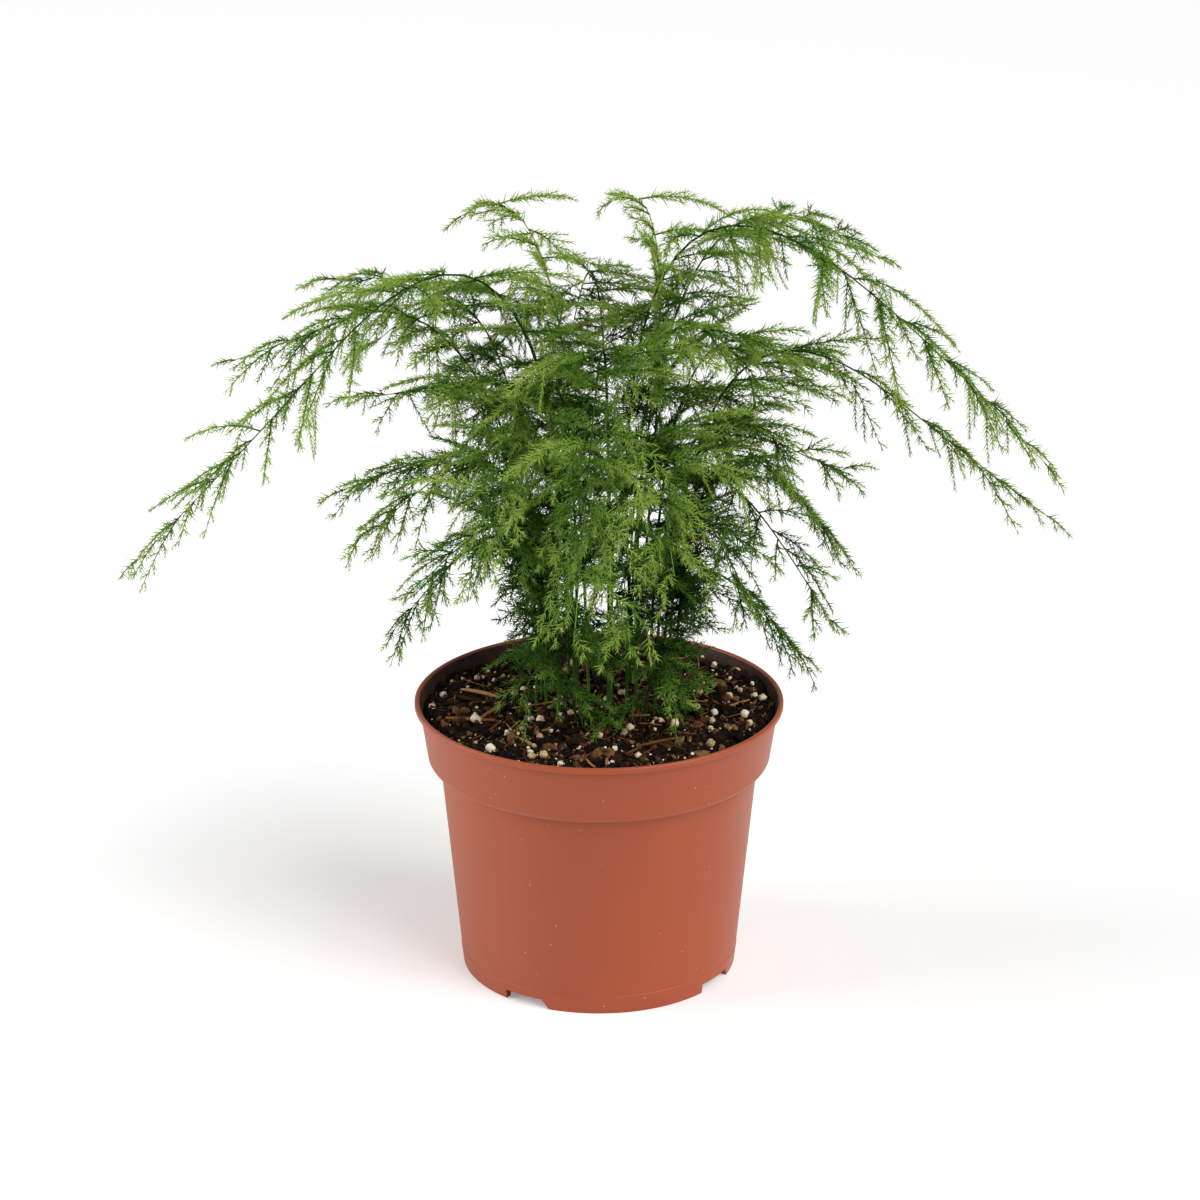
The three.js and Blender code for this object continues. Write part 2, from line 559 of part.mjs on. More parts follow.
// A closed skin of triangles. Limbs and spikes are raised from its faces, so it stays one closed body.
class Skin {
  corners = [];
  faces = [];

  addFace(a, b, c) {
    this.faces.push([a, b, c]);
    return this.faces.length - 1;
  }

  addCorner(spot) {
    this.corners.push(spot);
    return this.corners.length - 1;
  }

  // Three corners round a spot, square to a direction, turned to follow the three corners before them.
  addRing(spot, along, radius, from = []) {
    const across = new THREE.Vector3().crossVectors(along, SIDEWAYS).normalize();
    const beyond = new THREE.Vector3().crossVectors(along, across);
    let [even, odd] = [0, 0];
    from.forEach((corner, i) => {
      const arm = this.corners[corner].clone().sub(spot);
      const third = radians(120 * i);
      even += arm.dot(across) * Math.cos(third) + arm.dot(beyond) * Math.sin(third);
      odd += arm.dot(beyond) * Math.cos(third) - arm.dot(across) * Math.sin(third);
    });
    const turn = Math.atan2(odd, even);
    return [0, 1, 2].map((i) => {
      const angle = turn + radians(120 * i);
      const corner = spot.clone().addScaledVector(across, radius * Math.cos(angle));
      return this.addCorner(corner.addScaledVector(beyond, radius * Math.sin(angle)));
    });
  }

  normalOf(face) {
    const [a, b, c] = this.faces[face].map((corner) => this.corners[corner]);
    const edge = b.clone().sub(a);
    return edge.cross(c.clone().sub(a)).normalize();
  }

  middleOf(face) {
    const middle = new THREE.Vector3();
    for (const corner of this.faces[face]) middle.addScaledVector(this.corners[corner], 1 / 3);
    return middle;
  }

  // The walls between two rings, as six faces.
  join(from, to) {
    const walls = [];
    for (let i = 0; i < 3; i++) {
      const [a, b, c, d] = [from[i], from[(i + 1) % 3], to[(i + 1) % 3], to[i]];
      walls.push(this.addFace(a, b, c), this.addFace(a, c, d));
    }
    return walls;
  }

  // Raises a face to a point.
  raise(face, tip) {
    const [a, b, c] = this.faces[face];
    this.faces[face] = null;
    const top = this.addCorner(tip);
    this.addFace(a, b, top);
    this.addFace(b, c, top);
    this.addFace(c, a, top);
  }

  // Grows a limb from a face through rings, given as [spot, direction, radius], up to its tip.
  // Gives back the walls below each ring.
  grow(face, rings, tip) {
    let from = this.faces[face];
    this.faces[face] = null;
    const walls = rings.map(([spot, along, radius]) => {
      const to = this.addRing(spot, along, radius, from);
      const made = this.join(from, to);
      from = to;
      return made;
    });
    this.raise(this.addFace(...from), tip);
    return walls;
  }

  // The side of a joint that looks most nearly in a direction, out of those that haven't been raised yet.
  // A side is a pair of faces, of which the one nearer to the direction is raised.
  facing(walls, direction) {
    let best = null;
    let most = LEAST_FACING;
    for (let i = 0; i < walls.length; i += 2) {
      const pair = [walls[i], walls[i + 1]];
      if (pair.some((face) => !this.faces[face])) continue;
      const share = this.normalOf(pair[0]).dot(direction);
      if (share <= most) continue;
      most = share;
      const toSecond = this.middleOf(pair[1]).sub(this.middleOf(pair[0]));
      best = toSecond.dot(direction) > 0 ? pair[1] : pair[0];
    }
    return best;
  }

  geometry() {
    const geometry = new THREE.BufferGeometry().setFromPoints(this.corners);
    geometry.setIndex(this.faces.filter((face) => face).flat());
    geometry.computeVertexNormals();
    return geometry;
  }
}

// The two rings of a joint, just below and just above a place on a limb.
function jointRings(spot, along, radius) {
  const below = spot.clone().addScaledVector(along, -JOINT_HEIGHT / 2);
  const above = spot.clone().addScaledVector(along, JOINT_HEIGHT / 2);
  return [
    [below, along, radius],
    [above, along, radius],
  ];
}

// Raises one spike from a joint, if it has room there.
function addSpike(skin, owner, walls, line) {
  const face = skin.facing(walls, line.getTangent(0));
  if (face === null || !isClear(owner, line, SPIKE_THICK, SPIKE_ROOT_STRETCH)) return;
  keepBeads(owner, line, SPIKE_THICK);
  skin.raise(face, line.v2);
}

// Raises a needle from each side of a joint that is still free, up to a given number.
function addNeedles(skin, owner, walls, root, along, most) {
  for (let i = 0, made = 0; i < walls.length && made < most; i += 2) {
    if (!skin.faces[walls[i]] || !skin.faces[walls[i + 1]]) continue;
    const outward = skin.normalOf(walls[i]);
    outward.addScaledVector(along, -outward.dot(along)).normalize();
    addSpike(skin, owner, walls, leaningLine(root, along, outward, NEEDLE_LEAN, NEEDLE_LENGTH));
    made += 1;
  }
}

// Grows one spray, with its twigs and needles, from a joint of the stem.
function addSpray(skin, owner, { spray, curve }, collar) {
  const joints = jointsOf(spray).map(({ place, twigShare }, i) => {
    const radius = mix(SPRAY_THICK, SPRAY_THIN, i);
    const length = clamp(twigShare * spray.length, NEEDLE_LENGTH, TWIG_LONGEST);
    return { root: curve.getPoint(place), along: curve.getTangent(place), radius, length };
  });
  const foot = skin.facing(collar, joints[0].root.clone().sub(spray.root).normalize());
  if (foot === null) return;
  const rings = joints.flatMap(({ root, along, radius }) => jointRings(root, along, radius));
  const walls = skin.grow(foot, rings, curve.getPoint(1));
  joints.forEach(({ root, along, length }, i) => {
    const left = leftOf(along, spray.forward);
    const sides = walls[2 * i + 1];
    for (const outward of [left, left.clone().negate()]) {
      addSpike(skin, owner, sides, leaningLine(root, along, outward, TWIG_LEAN, length));
    }
    addNeedles(skin, owner, sides, root, along, 1);
  });
}

function frondGeometry(frond) {
  const skin = new Skin();
  const { name, stem, limbs } = frond;
  const root = stem.getPoint(0);
  const start = stem.getTangent(0);
  const [a, b, c] = skin.addRing(root, start, STEM_THICK);
  skin.addFace(a, c, b);

  const rings = BARE_RINGS.map((share) => {
    const at = share * frond.bare;
    return [stem.getPointAt(at), stem.getTangentAt(at), STEM_THICK];
  });
  for (const { spray } of limbs) {
    const radius = mix(STEM_THICK, STEM_THIN, spray.share);
    rings.push(...jointRings(spray.root, stem.getTangentAt(spray.share), radius));
  }
  const walls = skin.grow(skin.addFace(a, b, c), rings, stem.getPoint(1));

  limbs.forEach((limb, i) => {
    const collar = walls[BARE_RINGS.length + 2 * i + 1];
    addSpray(skin, name, limb, collar);
    const { root: place, share } = limb.spray;
    addNeedles(skin, name, collar, place, stem.getTangentAt(share), i % 2);
  });
  return skin.geometry();
}

const plant = new THREE.Group();
plant.add(solidNode("pot", pot(), "#b5624a", 0.55));
plant.add(solidNode("soil", soil(), "#3a2a20", 0.95));
for (const frond of FRONDS) {
  const colour = frond.name.includes("young") ? "#8fb347" : "#4c8a35";
  plant.add(node(frond.name, frondGeometry(frond), colour, 0.6));
}

export default plant;
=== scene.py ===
# Potted asparagus fern: a 12 cm nursery pot of potting soil with a clump of feathery green stems.
# The tables and the modelling are in millimetres and degrees. The settings and the finished pieces are
# in metres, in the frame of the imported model: +Z up, +X to the right, the front is -Y.

import math

import bmesh
import bpy
import numpy as np
from mathutils import Matrix, Vector, noise
from mathutils.bvhtree import BVHTree


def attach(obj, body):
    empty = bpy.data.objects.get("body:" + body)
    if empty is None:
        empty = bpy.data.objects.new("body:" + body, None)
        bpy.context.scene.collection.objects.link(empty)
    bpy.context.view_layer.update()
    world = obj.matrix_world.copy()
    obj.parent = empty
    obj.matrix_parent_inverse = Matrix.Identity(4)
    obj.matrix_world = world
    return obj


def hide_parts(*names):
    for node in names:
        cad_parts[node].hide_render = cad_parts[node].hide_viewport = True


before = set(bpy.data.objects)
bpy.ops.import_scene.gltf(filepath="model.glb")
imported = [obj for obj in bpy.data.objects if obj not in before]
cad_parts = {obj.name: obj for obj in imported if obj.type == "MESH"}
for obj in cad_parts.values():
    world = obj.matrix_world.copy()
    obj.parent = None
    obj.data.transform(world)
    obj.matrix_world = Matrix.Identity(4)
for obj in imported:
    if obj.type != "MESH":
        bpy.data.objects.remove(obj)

bl_info = {
    "name": "Potted asparagus fern",
    "version": (1, 0, 0),
    "blender": (4, 5, 0),
    "location": "View3D > Sidebar > Fern",
    "description": "Builds the pot, the potting soil, the feathery stems and the stage",
    "category": "Object",
}

MM = 0.001
UP = Vector((0, 0, 1))

# Pot: the outline of its wall, as radius and height. After the photograph, the collar is up to 0.7 mm
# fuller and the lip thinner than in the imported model.
RIM_RADIUS = 60.0
POT_HEIGHT = 92.0
LIP_CORNER = (60.0, 90.0)
COLLAR_TOP = (58.3, 89.8)
COLLAR_BOTTOM = (55.8, 73.0)
STEP_CHAMFER = (0.7, 1.1)
LIP_INSIDE = (58.6, 92.0)
FLARE_BOTTOM = 87.5
WALL_TOP = (51.8, 70.4)
FOOT_RADIUS = 45.0
MOULD_LINE = 6.2
MOULD_STEP = 0.12
MOULD_FADE = 0.15
WALL = 1.5
FLOOR_UNDERSIDE = 4.0
FLOOR_TOP = FLOOR_UNDERSIDE + WALL
FOOT_RING = 2.4
FOOT_TAPER = 0.4
EDGE_ROUND = 0.35
SHARP_ANGLE = 32
POT_STEPS = 180

# Painted shade: inside the pot, the wall is painted dark up to this height, where shade falls above the soil.
INSIDE_SHADE_TOP = 91.3
INSIDE_SHADE_COLOURS = ("#1C0F09", "#2D1911", "#4A2A1C", "#6B3A27")

# Foot notches, each with one upright and one slanted side, and drain holes in one circle.
NOTCH_COUNT = 4
NOTCH_FIRST_ANGLE = -121
NOTCH_WIDTH = 17.0
NOTCH_SLANT = 3.0
NOTCH_HEIGHT = 3.3
NOTCH_BELOW = 1
NOTCH_DEPTH = 14
NOTCH_MIDDLE = FOOT_RADIUS - 4
DRAIN_COUNT = 8
DRAIN_RADIUS = 4.0
DRAIN_CIRCLE = 29.0
DRAIN_SIDES = 32

# Soil: its mean level, the low mound under the clump and the hollow at the back on the left.
SOIL_EDGE = 89.2
SOIL_MOUND = 1.4
MOUND_CENTRE = (5, 8)
MOUND_SPREAD = 26
SOIL_HOLLOW = 2.4
HOLLOW_CENTRE = (-27, 46)
HOLLOW_SPREAD = 28
SOIL_ROUGHNESS = 0.5
SOIL_RADIUS = 57.0
SOIL_BED_SIDE = 84.0
SOIL_RINGS = 72
SOIL_STEPS = 228
SOIL_TONE = 0.35
SOIL_SEED = 97
FIT_GAP = 0.3

# The crumbled surface: the size of its lumps, the place of their draws and their height, then how far
# the whole surface sinks.
CRUMBLES = ((7, 3.1, 1.7), (2.4, 9.7, 1.5), (1.1, 5.3, 0.7))
CRUMBLE_SINK = 0.6

# Loose things on the soil, each with its least and greatest size, and the potting mix's colours.
LUMP_SIZES = (0.6, 1.9)
CRUMB_SIZES = (0.3, 0.95)
FIBRE_LENGTHS = (4, 17)
GRAIN_SIZES = (0.5, 1.6)
SPECK_SIZES = (0.2, 0.6)
PEAT_COLOURS = ("#060302", "#130A06", "#2F1C10", "#52331C")
CRUMB_COLOURS = ("#0A0503", "#23140B", "#4C2F1B", "#85603C")
BARK_COLOURS = ("#26140A", "#4F2B17", "#7E4C2B", "#B98A5A")
PERLITE_COLOURS = ("#80603C", "#CDB085", "#EAD9B8", "#F7EFDD")

# Stems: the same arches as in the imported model. Each row is name, root x and y, heading from +X, then
# reach and height of knee, shoulder and tip, the lift of the tip, the bare share of the stem, the length
# of its longest spray, the number of sprays, the roll of its plane, and the seed of its draws.
STEM_ROOT = 76
FRONDS = [
    ("frond_right_high", 14, 8, -25, (-25, 282), (35, 296), (138, 177), 9, 0.53, 50, 15, -12, 7),
    ("frond_right_back", 10, 20, 31, (0, 246), (40, 273), (101, 210), 8, 0.42, 34, 13, -14, 194),
    ("frond_right_low", 20, 12, -17, (5, 244), (49, 239), (131, 144), 16, 0.33, 34, 12, -22, 343),
    ("frond_right_mid", 19, 5, -35, (-2, 231), (34, 184), (74, 178), 5, 0.4, 33, 10, 21, 116),
    ("frond_right_shoulder", 24, 16, -11, (4, 205), (28, 178), (56, 137), 4, 0.39, 40, 10, -27, 834),
    ("frond_right_skirt", 23, 1, -44, (-3, 199), (24, 186), (71, 131), 2, 0.31, 26, 10, 20, 167),
    ("frond_right_hem", 26, 9, -22, (-6, 163), (20, 134), (46, 103), 4, 0.34, 22, 8, -12, 528),
    ("frond_left_long", -8, 10, 203, (-1, 265), (45, 295), (149, 124), 30, 0.54, 38, 15, 10, 495),
    ("frond_left_high", -14, 14, 184, (6, 210), (50, 264), (106, 178), 25, 0.41, 34, 12, 30, 185),
    ("frond_left_back", -12, 21, 161, (23, 231), (13, 216), (89, 227), -9, 0.49, 32, 11, 28, 229),
    ("frond_left_mid", -13, 7, 194, (-1, 241), (21, 190), (74, 198), 0, 0.3, 26, 10, 7, 153),
    ("frond_left_shoulder", -17, 3, 209, (1, 213), (33, 177), (70, 153), 2, 0.44, 34, 10, -2, 31),
    ("frond_left_skirt", -19, 9, 180, (-4, 196), (27, 176), (66, 158), 1, 0.41, 34, 10, 6, 865),
    ("frond_left_hem", -21, -1, 214, (-6, 172), (16, 161), (56, 124), 0, 0.36, 27, 8, 21, 41),
    ("frond_young_left", -3, 12, 166, (4, 222), (14, 272), (45, 245), 0, 0.55, 26, 10, 5, 324),
    ("frond_young_back", 10, 18, 172, (-14, 226), (-14, 270), (9, 251), 0, 0.55, 26, 10, 12, 441),
    ("frond_crown_left", -7, 2, 230, (0, 232), (6, 212), (54, 176), 0, 0.46, 42, 9, 30, 171),
    ("frond_crown_right", 9, 3, 330, (0, 236), (20, 239), (47, 203), 0, 0.37, 53, 9, 11, 341),
    ("frond_front_high", 3, -3, 264, (-6, 238), (6, 258), (100, 144), 6, 0.42, 49, 12, 30, 860),
    ("frond_front_left", -8, -4, 247, (-4, 208), (51, 214), (79, 154), 4, 0.32, 39, 11, 17, 653),
    ("frond_front_right", 12, -5, 278, (-4, 222), (35, 200), (77, 160), 4, 0.44, 47, 11, 20, 726),
    ("frond_front_low_left", -13, -9, 230, (-2, 168), (24, 178), (72, 147), 2, 0.3, 33, 9, -30, 186),
    ("frond_front_low", 4, -11, 274, (-4, 180), (19, 179), (79, 140), 2, 0.34, 31, 10, -26, 332),
    ("frond_front_low_right", 18, -8, 306, (-2, 178), (31, 182), (45, 135), 2, 0.3, 37, 9, -13, 158),
    ("frond_back_high", 4, 25, 107, (0, 238), (20, 262), (56, 166), 6, 0.4, 30, 10, 6, 38),
    ("frond_back_left", -10, 27, 135, (0, 224), (29, 252), (107, 166), 6, 0.34, 34, 9, 0, 72),
    ("frond_back_right", 17, 26, 45, (0, 224), (38, 215), (85, 162), 6, 0.3, 48, 9, -12, 112),
    ("sprig_front_left", -6, -14, 226, (3, 118), (18, 122), (27, 104), 0, 0.3, 13, 6, 0, 61),
    ("sprig_front_right", 14, -12, 300, (3, 118), (16, 122), (23, 104), 0, 0.3, 13, 6, 0, 64),
]
FLARE_START = 0.75
LIFTS = (0, 0.1, -0.1, 0.2, -0.2, 0.3, -0.3, 0.42, -0.42, 0.55, -0.55, 0.7)
JOINT_PLACES = (0.36, 0.72, 1.0)
SHORT_PLACES = (0.55, 1.0)
SHORT_SPRAY = 17
STEM_RADII = ((0, 0.56), (0.45, 0.38), (0.8, 0.22), (1, 0.12))
STEM_TONES = ((0, 0.6), (0.12, 0.45), (0.3, 0.22), (0.6, 0.2), (0.85, 0.55), (1, 0.85))
STEM_POINTS = 44

# The tones, from old and dark at 0 to fresh and yellow at 1, of each frond's leaves, of the young fronds'
# leaves, and how much fresher a young stem is. On the leaves, lower tones also stand for painted shade in the
# clump.
FROND_TONES = (0.27, 0.46)
YOUNG_TONE = 0.66
YOUNG_STEM = 0.3
NEEDLE_SKIN = 1
NEEDLE_SHARES = (0.8, 1.0, 1.15)
STEM_COLOURS = ("#1A2212", "#28401C", "#3F6124", "#628A34", "#98B450")
NEEDLE_COLOURS = ("#082003", "#1F5306", "#479009", "#79BA14", "#B6DB36")

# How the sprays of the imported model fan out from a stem, from the lowest to the tip, rise and droop.
FAN_WIDEST = 104
FAN_NARROWEST = 30
FAN_SCATTER = 18
RISE_SCATTER = 0.28
RISE_MIDDLE = 0.35
LENGTH_SCATTER = 0.4
DROOP_LEAST = 0.1
DROOP_SCATTER = 0.28
STEEPEST_FALL = -0.75
STEEPEST_RISE = 0.25

# Twigs grow on both sides of a spray in its plane. They are copies of a few patterns of these lengths.
TWIG_LENGTHS = (3.6, 5.2, 7.4, 10, 13.5, 18)
TWIG_KINDS = 3
TWIG_LEAN = 36
TWIG_LONGEST = 12
FEATHER_LEAN = 48
FEATHER_LONGEST = 6.5
STRAND_LENGTHS = (10, 19)

# On a thick frond and on an open one: the length of a twig against its spray, and the share of twigs
# that hang straight down as longer strands.
TWIG_SHARES = (0.3, 0.13)
STRAND_SHARES = (0.05, 0.24)

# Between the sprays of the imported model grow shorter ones, out of its plane. The fronds that reach up
# to the first distance here are the thickest, and the ones from the second distance on are open. Each
# pair is for a thick frond and for an open one: their number against the sprays', how steeply they
# fall, their fan, greatest length and droop.
THICK_REACH = 80
OPEN_REACH = 140
BETWEEN_COUNTS = (1.6, 1.1)
BETWEEN_FALLS = (STEEPEST_FALL, -0.3)
BETWEEN_FANS = (100, 70)
BETWEEN_SHORTEST = 17
BETWEEN_LONGEST = (30, 44)
BETWEEN_DROOPS = (0.5, 0.3)
BETWEEN_ROLL = 55
CLUMP_CENTRE = (3, 6)
FOOT_BARE = 12

# Painted shade: foliage is painted darker toward the middle of the clump and lighter toward its outside: its
# middle and its half width.
PAINTED_SHADE_CENTRE = (3, 14, 130)
PAINTED_SHADE_REACH = 105
PAINTED_SHADE_SWING = 0.75
PAINTED_SHADE_EVEN = 0.55

# The crown: over this height and within this distance of the axis the stems carry flat level sprays.
CROWN_BOTTOM = 178
CROWN_RADIUS = 70
CROWN_LENGTHS = (24, 44)
CROWN_PLACES = 60

# Stage, in metres and degrees: where the lights stand and what they and the camera look at.
KEY_PLACE = (0.8, -0.59, 0.9)
KEY_ANGLE = 55
FILL_PLACE = (-1.1, -0.1, 0.5)
FILL_SIZE = 0.8
LIGHT_AIM = (0, 0, 0.12)
CAMERA_AIM = (0.000335, 0, 0.12583)
CAMERA_DISTANCE = 1.3
CAMERA_ELEVATION = 20.558
CAMERA_LENS = 120.98
FLOOR_HALF = 6


def linear(code, alpha=False):
    """Gives the linear colour of an sRGB hex code, with an alpha of 1 where one is asked for."""
    channels = [int(code[i : i + 2], 16) / 255 for i in (1, 3, 5)]
    made = [c / 12.92 if c <= 0.04045 else ((c + 0.055) / 1.055) ** 2.4 for c in channels]
    return (*made, 1.0) if alpha else tuple(made)


def mix(a, b, share):
    """The value at a share of the way from one value to another."""
    return a + (b - a) * share


def clamp(value, low, high):
    """A value kept between two limits."""
    return max(low, min(high, value))


def along_stops(stops, share):
    """Reads a value off a list of (share, value) stops."""
    for (s0, v0), (s1, v1) in zip(stops, stops[1:]):
        if share <= s1:
            return mix(v0, v1, (share - s0) / (s1 - s0))
    return stops[-1][1]


def draws_from(seed):
    """A repeatable stream of draws between 0 and 1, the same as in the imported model's source."""
    state = (seed * 7919) % 2147483647

    def draw():
        nonlocal state
        state = (state * 16807) % 2147483647
        return state / 2147483647

    return draw


# Meshes


def rounded(bm, picks, width):
    """Rounds the edges that a test picks."""
    edges = [edge for edge in bm.edges if picks(edge)]
    bmesh.ops.bevel(
        bm,
        geom=edges,
        offset=width,
        offset_type="OFFSET",
        affect="EDGES",
        segments=3,
        profile=0.5,
        material=-1,
    )


def spun(profile, steps):
    """Turns a closed outline of (radius, height) points round the Z axis into a closed shell."""
    bm = bmesh.new()
    points = [bm.verts.new((radius, 0, height)) for radius, height in profile]
    edges = [bm.edges.new(pair) for pair in zip(points, points[1:])]
    bmesh.ops.spin(
        bm,
        geom=points + edges,
        cent=(0, 0, 0),
        axis=(0, 0, 1),
        angle=2 * math.pi,
        steps=steps,
        use_merge=True,
    )
    bmesh.ops.remove_doubles(bm, verts=bm.verts, dist=1e-4)
    bmesh.ops.recalc_face_normals(bm, faces=bm.faces)
    return bm


def new_shape():
    """An empty mesh under construction whose points carry a tone."""
    bm = bmesh.new()
    bm.verts.layers.float.new("tone")
    return bm


def to_mesh(bm, name):
    """Ends a mesh under construction and gives back the finished mesh."""
    mesh = bpy.data.meshes.new(name)
    bm.to_mesh(mesh)
    bm.free()
    return mesh


def finish_piece(name, mesh, materials, nodes=()):
    """Makes a piece of a mesh in millimetres: scaled in its mesh, with its materials, on the root body."""
    mesh.transform(Matrix.Scale(MM, 4))
    mesh.materials.clear()
    for material in materials:
        mesh.materials.append(material)
    for face in mesh.polygons:
        face.use_smooth = True
    piece = bpy.data.objects.new(name, mesh)
    bpy.context.scene.collection.objects.link(piece)
    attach(piece, "root")
    if nodes:
        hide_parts(*nodes)
    return piece


def tube(path, sides):
    """A closed tube along a path of (spot, radius, tone), each ring turned no more than the path bends."""
    bm = new_shape()
    tone_of = bm.verts.layers.float["tone"]
    spots = [Vector(spot) for spot, _, _ in path]
    heading = (spots[1] - spots[0]).normalized()
    turn = heading.to_track_quat("Z", "Y")
    bmesh.ops.create_cone(bm, cap_ends=True, segments=sides, radius1=1, radius2=1, depth=2)
    top = next(face for face in bm.faces if face.normal.z > 0.9)
    bottom = next(face for face in bm.faces if face.normal.z < -0.9)
    angles = [math.atan2(v.co.y, v.co.x) for v in top.verts]
    below = {round(math.atan2(v.co.y, v.co.x), 3): v for v in bottom.verts}

    def place(ring, index):
        _, radius, tone = path[index]
        for vert, angle in zip(ring, angles):
            arm = turn @ Vector((math.cos(angle), math.sin(angle), 0))
            vert.co = spots[index] + arm * radius
            vert[tone_of] = tone

    place([below[round(angle, 3)] for angle in angles], 0)
    for index in range(1, len(path)):
        if index > 1:
            top = bmesh.ops.extrude_discrete_faces(bm, faces=[top])["faces"][0]
        after = spots[min(index + 1, len(path) - 1)]
        ahead = (after - spots[index - 1]).normalized()
        turn = heading.rotation_difference(ahead) @ turn
        heading = ahead
        place(top.verts, index)
    return to_mesh(bm, "tube")


def add_tube(bm, path, sides):
    """Adds a tube to a mesh under construction."""
    core = tube(path, sides)
    bm.from_mesh(core)
    bpy.data.meshes.remove(core)


def needle_mesh(length, radius):
    """One cladode along +X: a slim three-sided needle that narrows to its point."""
    bm = new_shape()
    tone_of = bm.verts.layers.float["tone"]
    place = Matrix.Translation((length / 2, 0, 0)) @ Matrix.Rotation(math.pi / 2, 4, "Y")
    bmesh.ops.create_cone(
        bm, cap_ends=True, segments=3, radius1=radius, radius2=0, depth=length, matrix=place
    )
    bmesh.ops.remove_doubles(bm, verts=bm.verts, dist=1e-4)
    for vert in bm.verts:
        vert[tone_of] = 0.16 * vert.co.x / length
    for face in bm.faces:
        face.material_index = NEEDLE_SKIN
    return to_mesh(bm, "needle")


class Pattern:
    """A mesh that is copied many times into a larger one, each copy with its own place and tone."""

    def __init__(self, mesh, length):
        self.mesh = mesh
        self.length = length
        self.spots = np.zeros(3 * len(mesh.vertices), np.float32)
        mesh.vertices.foreach_get("co", self.spots)
        self.tones = np.zeros(len(mesh.vertices), np.float32)
        mesh.attributes["tone"].data.foreach_get("value", self.tones)

    def copy_into(self, bm, place, tone):
        """Adds one copy at a place, and then puts the pattern's own points back."""
        self.mesh.transform(place)
        self.mesh.attributes["tone"].data.foreach_set("value", self.tones + np.float32(tone))
        bm.from_mesh(self.mesh)
        self.mesh.vertices.foreach_set("co", self.spots)


def placed(spot, heading, normal, scale=1.0):
    """The place of a pattern that lies along +X with its flat side up: its heading and its normal."""
    x = heading.normalized()
    y = normal.cross(x).normalized()
    z = x.cross(y)
    turn = Matrix((x, y, z)).transposed().to_4x4()
    return Matrix.Translation(spot) @ turn @ Matrix.Scale(scale, 4)


# Foliage


def fascicle(bm, needles, draw, spot, along, normal, count, lean, size, tone):
    """A tuft of needles that leave one spot all round a shoot, leaning forward."""
    start = 360 * draw()
    left = normal.cross(along).normalized()
    for i in range(count):
        around = math.radians(start + 360 * (i + 0.35 * (draw() - 0.5)) / count)
        outward = left * math.cos(around) + normal * math.sin(around)
        tilt = math.radians(lean * (0.8 + 0.4 * draw()))
        heading = along * math.cos(tilt) + outward * math.sin(tilt)
        pattern = needles[int(draw() * len(needles)) % len(needles)]
        side = normal if abs(heading.dot(normal)) < 0.9 else left
        place = placed(spot, heading, side, size * (0.8 + 0.4 * draw()))
        pattern.copy_into(bm, place, tone + 0.1 * (draw() - 0.5))


def twig_pattern(length, draw, needles, settings):
    """A twig along +X that bends a little forward and down, with its tufts of needles."""
    bend = 0.09 * length * (0.6 + 0.8 * draw())
    sag = 0.06 * length * draw()

    def spot(share):
        return Vector((length * share, bend * share * share, -sag * share * share))

    def along(share):
        return Vector((length, 2 * bend * share, -2 * sag * share)).normalized()

    steps = 2
    path = [(spot(i / steps), mix(0.17, 0.08, i / steps), 0.04) for i in range(steps + 1)]
    bm = new_shape()
    add_tube(bm, path, 3)
    gap = settings.tuft_gap / MM
    count = max(3, round(length / gap))
    for i in range(count):
        share = (i + 0.55 + 0.3 * draw()) / count
        share = min(share, 0.97)
        size = mix(1.0, 0.6, share) * mix(0.88, 1, min(1, length / 8))
        lean = mix(46, 20, share**1.5)
        tufted = settings.tuft_needles
        fascicle(bm, needles, draw, spot(share), along(share), UP, tufted, lean, size, 0.12 * share)
    return Pattern(to_mesh(bm, "twig"), length)


class Stem:
    """One arch of the clump. Shares of its length are measured over short chords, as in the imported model."""

    CHORDS = 200

    def __init__(self, row):
        (self.name, self.x, self.y, heading, self.knee, self.shoulder, self.tip) = row[:7]
        (self.flare, self.bare, self.spread, self.count, self.roll, self.seed) = row[7:]
        self.heading = math.radians(heading)
        spots = [self.spot(i / self.CHORDS) for i in range(self.CHORDS + 1)]
        chords = [(b - a).length for a, b in zip(spots, spots[1:])]
        self.lengths = np.concatenate([[0], np.cumsum(chords)])
        self.length = float(self.lengths[-1])

    def spot(self, t):
        u = 1 - t
        b, c, d = 3 * u * u * t, 3 * u * t * t, t**3
        reach = b * self.knee[0] + c * self.shoulder[0] + d * self.tip[0]
        lift = self.flare * clamp((t - FLARE_START) / (1 - FLARE_START), 0, 1) ** 2
        height = u**3 * STEM_ROOT + b * self.knee[1] + c * self.shoulder[1] + d * self.tip[1] + lift
        x = self.x + reach * math.cos(self.heading)
        y = self.y + reach * math.sin(self.heading)
        return Vector((x, y, height))

    def openness(self):
        """How open the frond is: 0 for the short thick ones, 1 for the longest."""
        return clamp((self.tip[0] - THICK_REACH) / (OPEN_REACH - THICK_REACH), 0, 1)

    def t_at(self, share):
        shares = np.linspace(0, 1, self.CHORDS + 1)
        return float(np.interp(share * self.length, self.lengths, shares))

    def at(self, share):
        return self.spot(self.t_at(share))

    def along(self, share):
        t = self.t_at(share)
        return (self.spot(min(1, t + 1e-4)) - self.spot(max(0, t - 1e-4))).normalized()


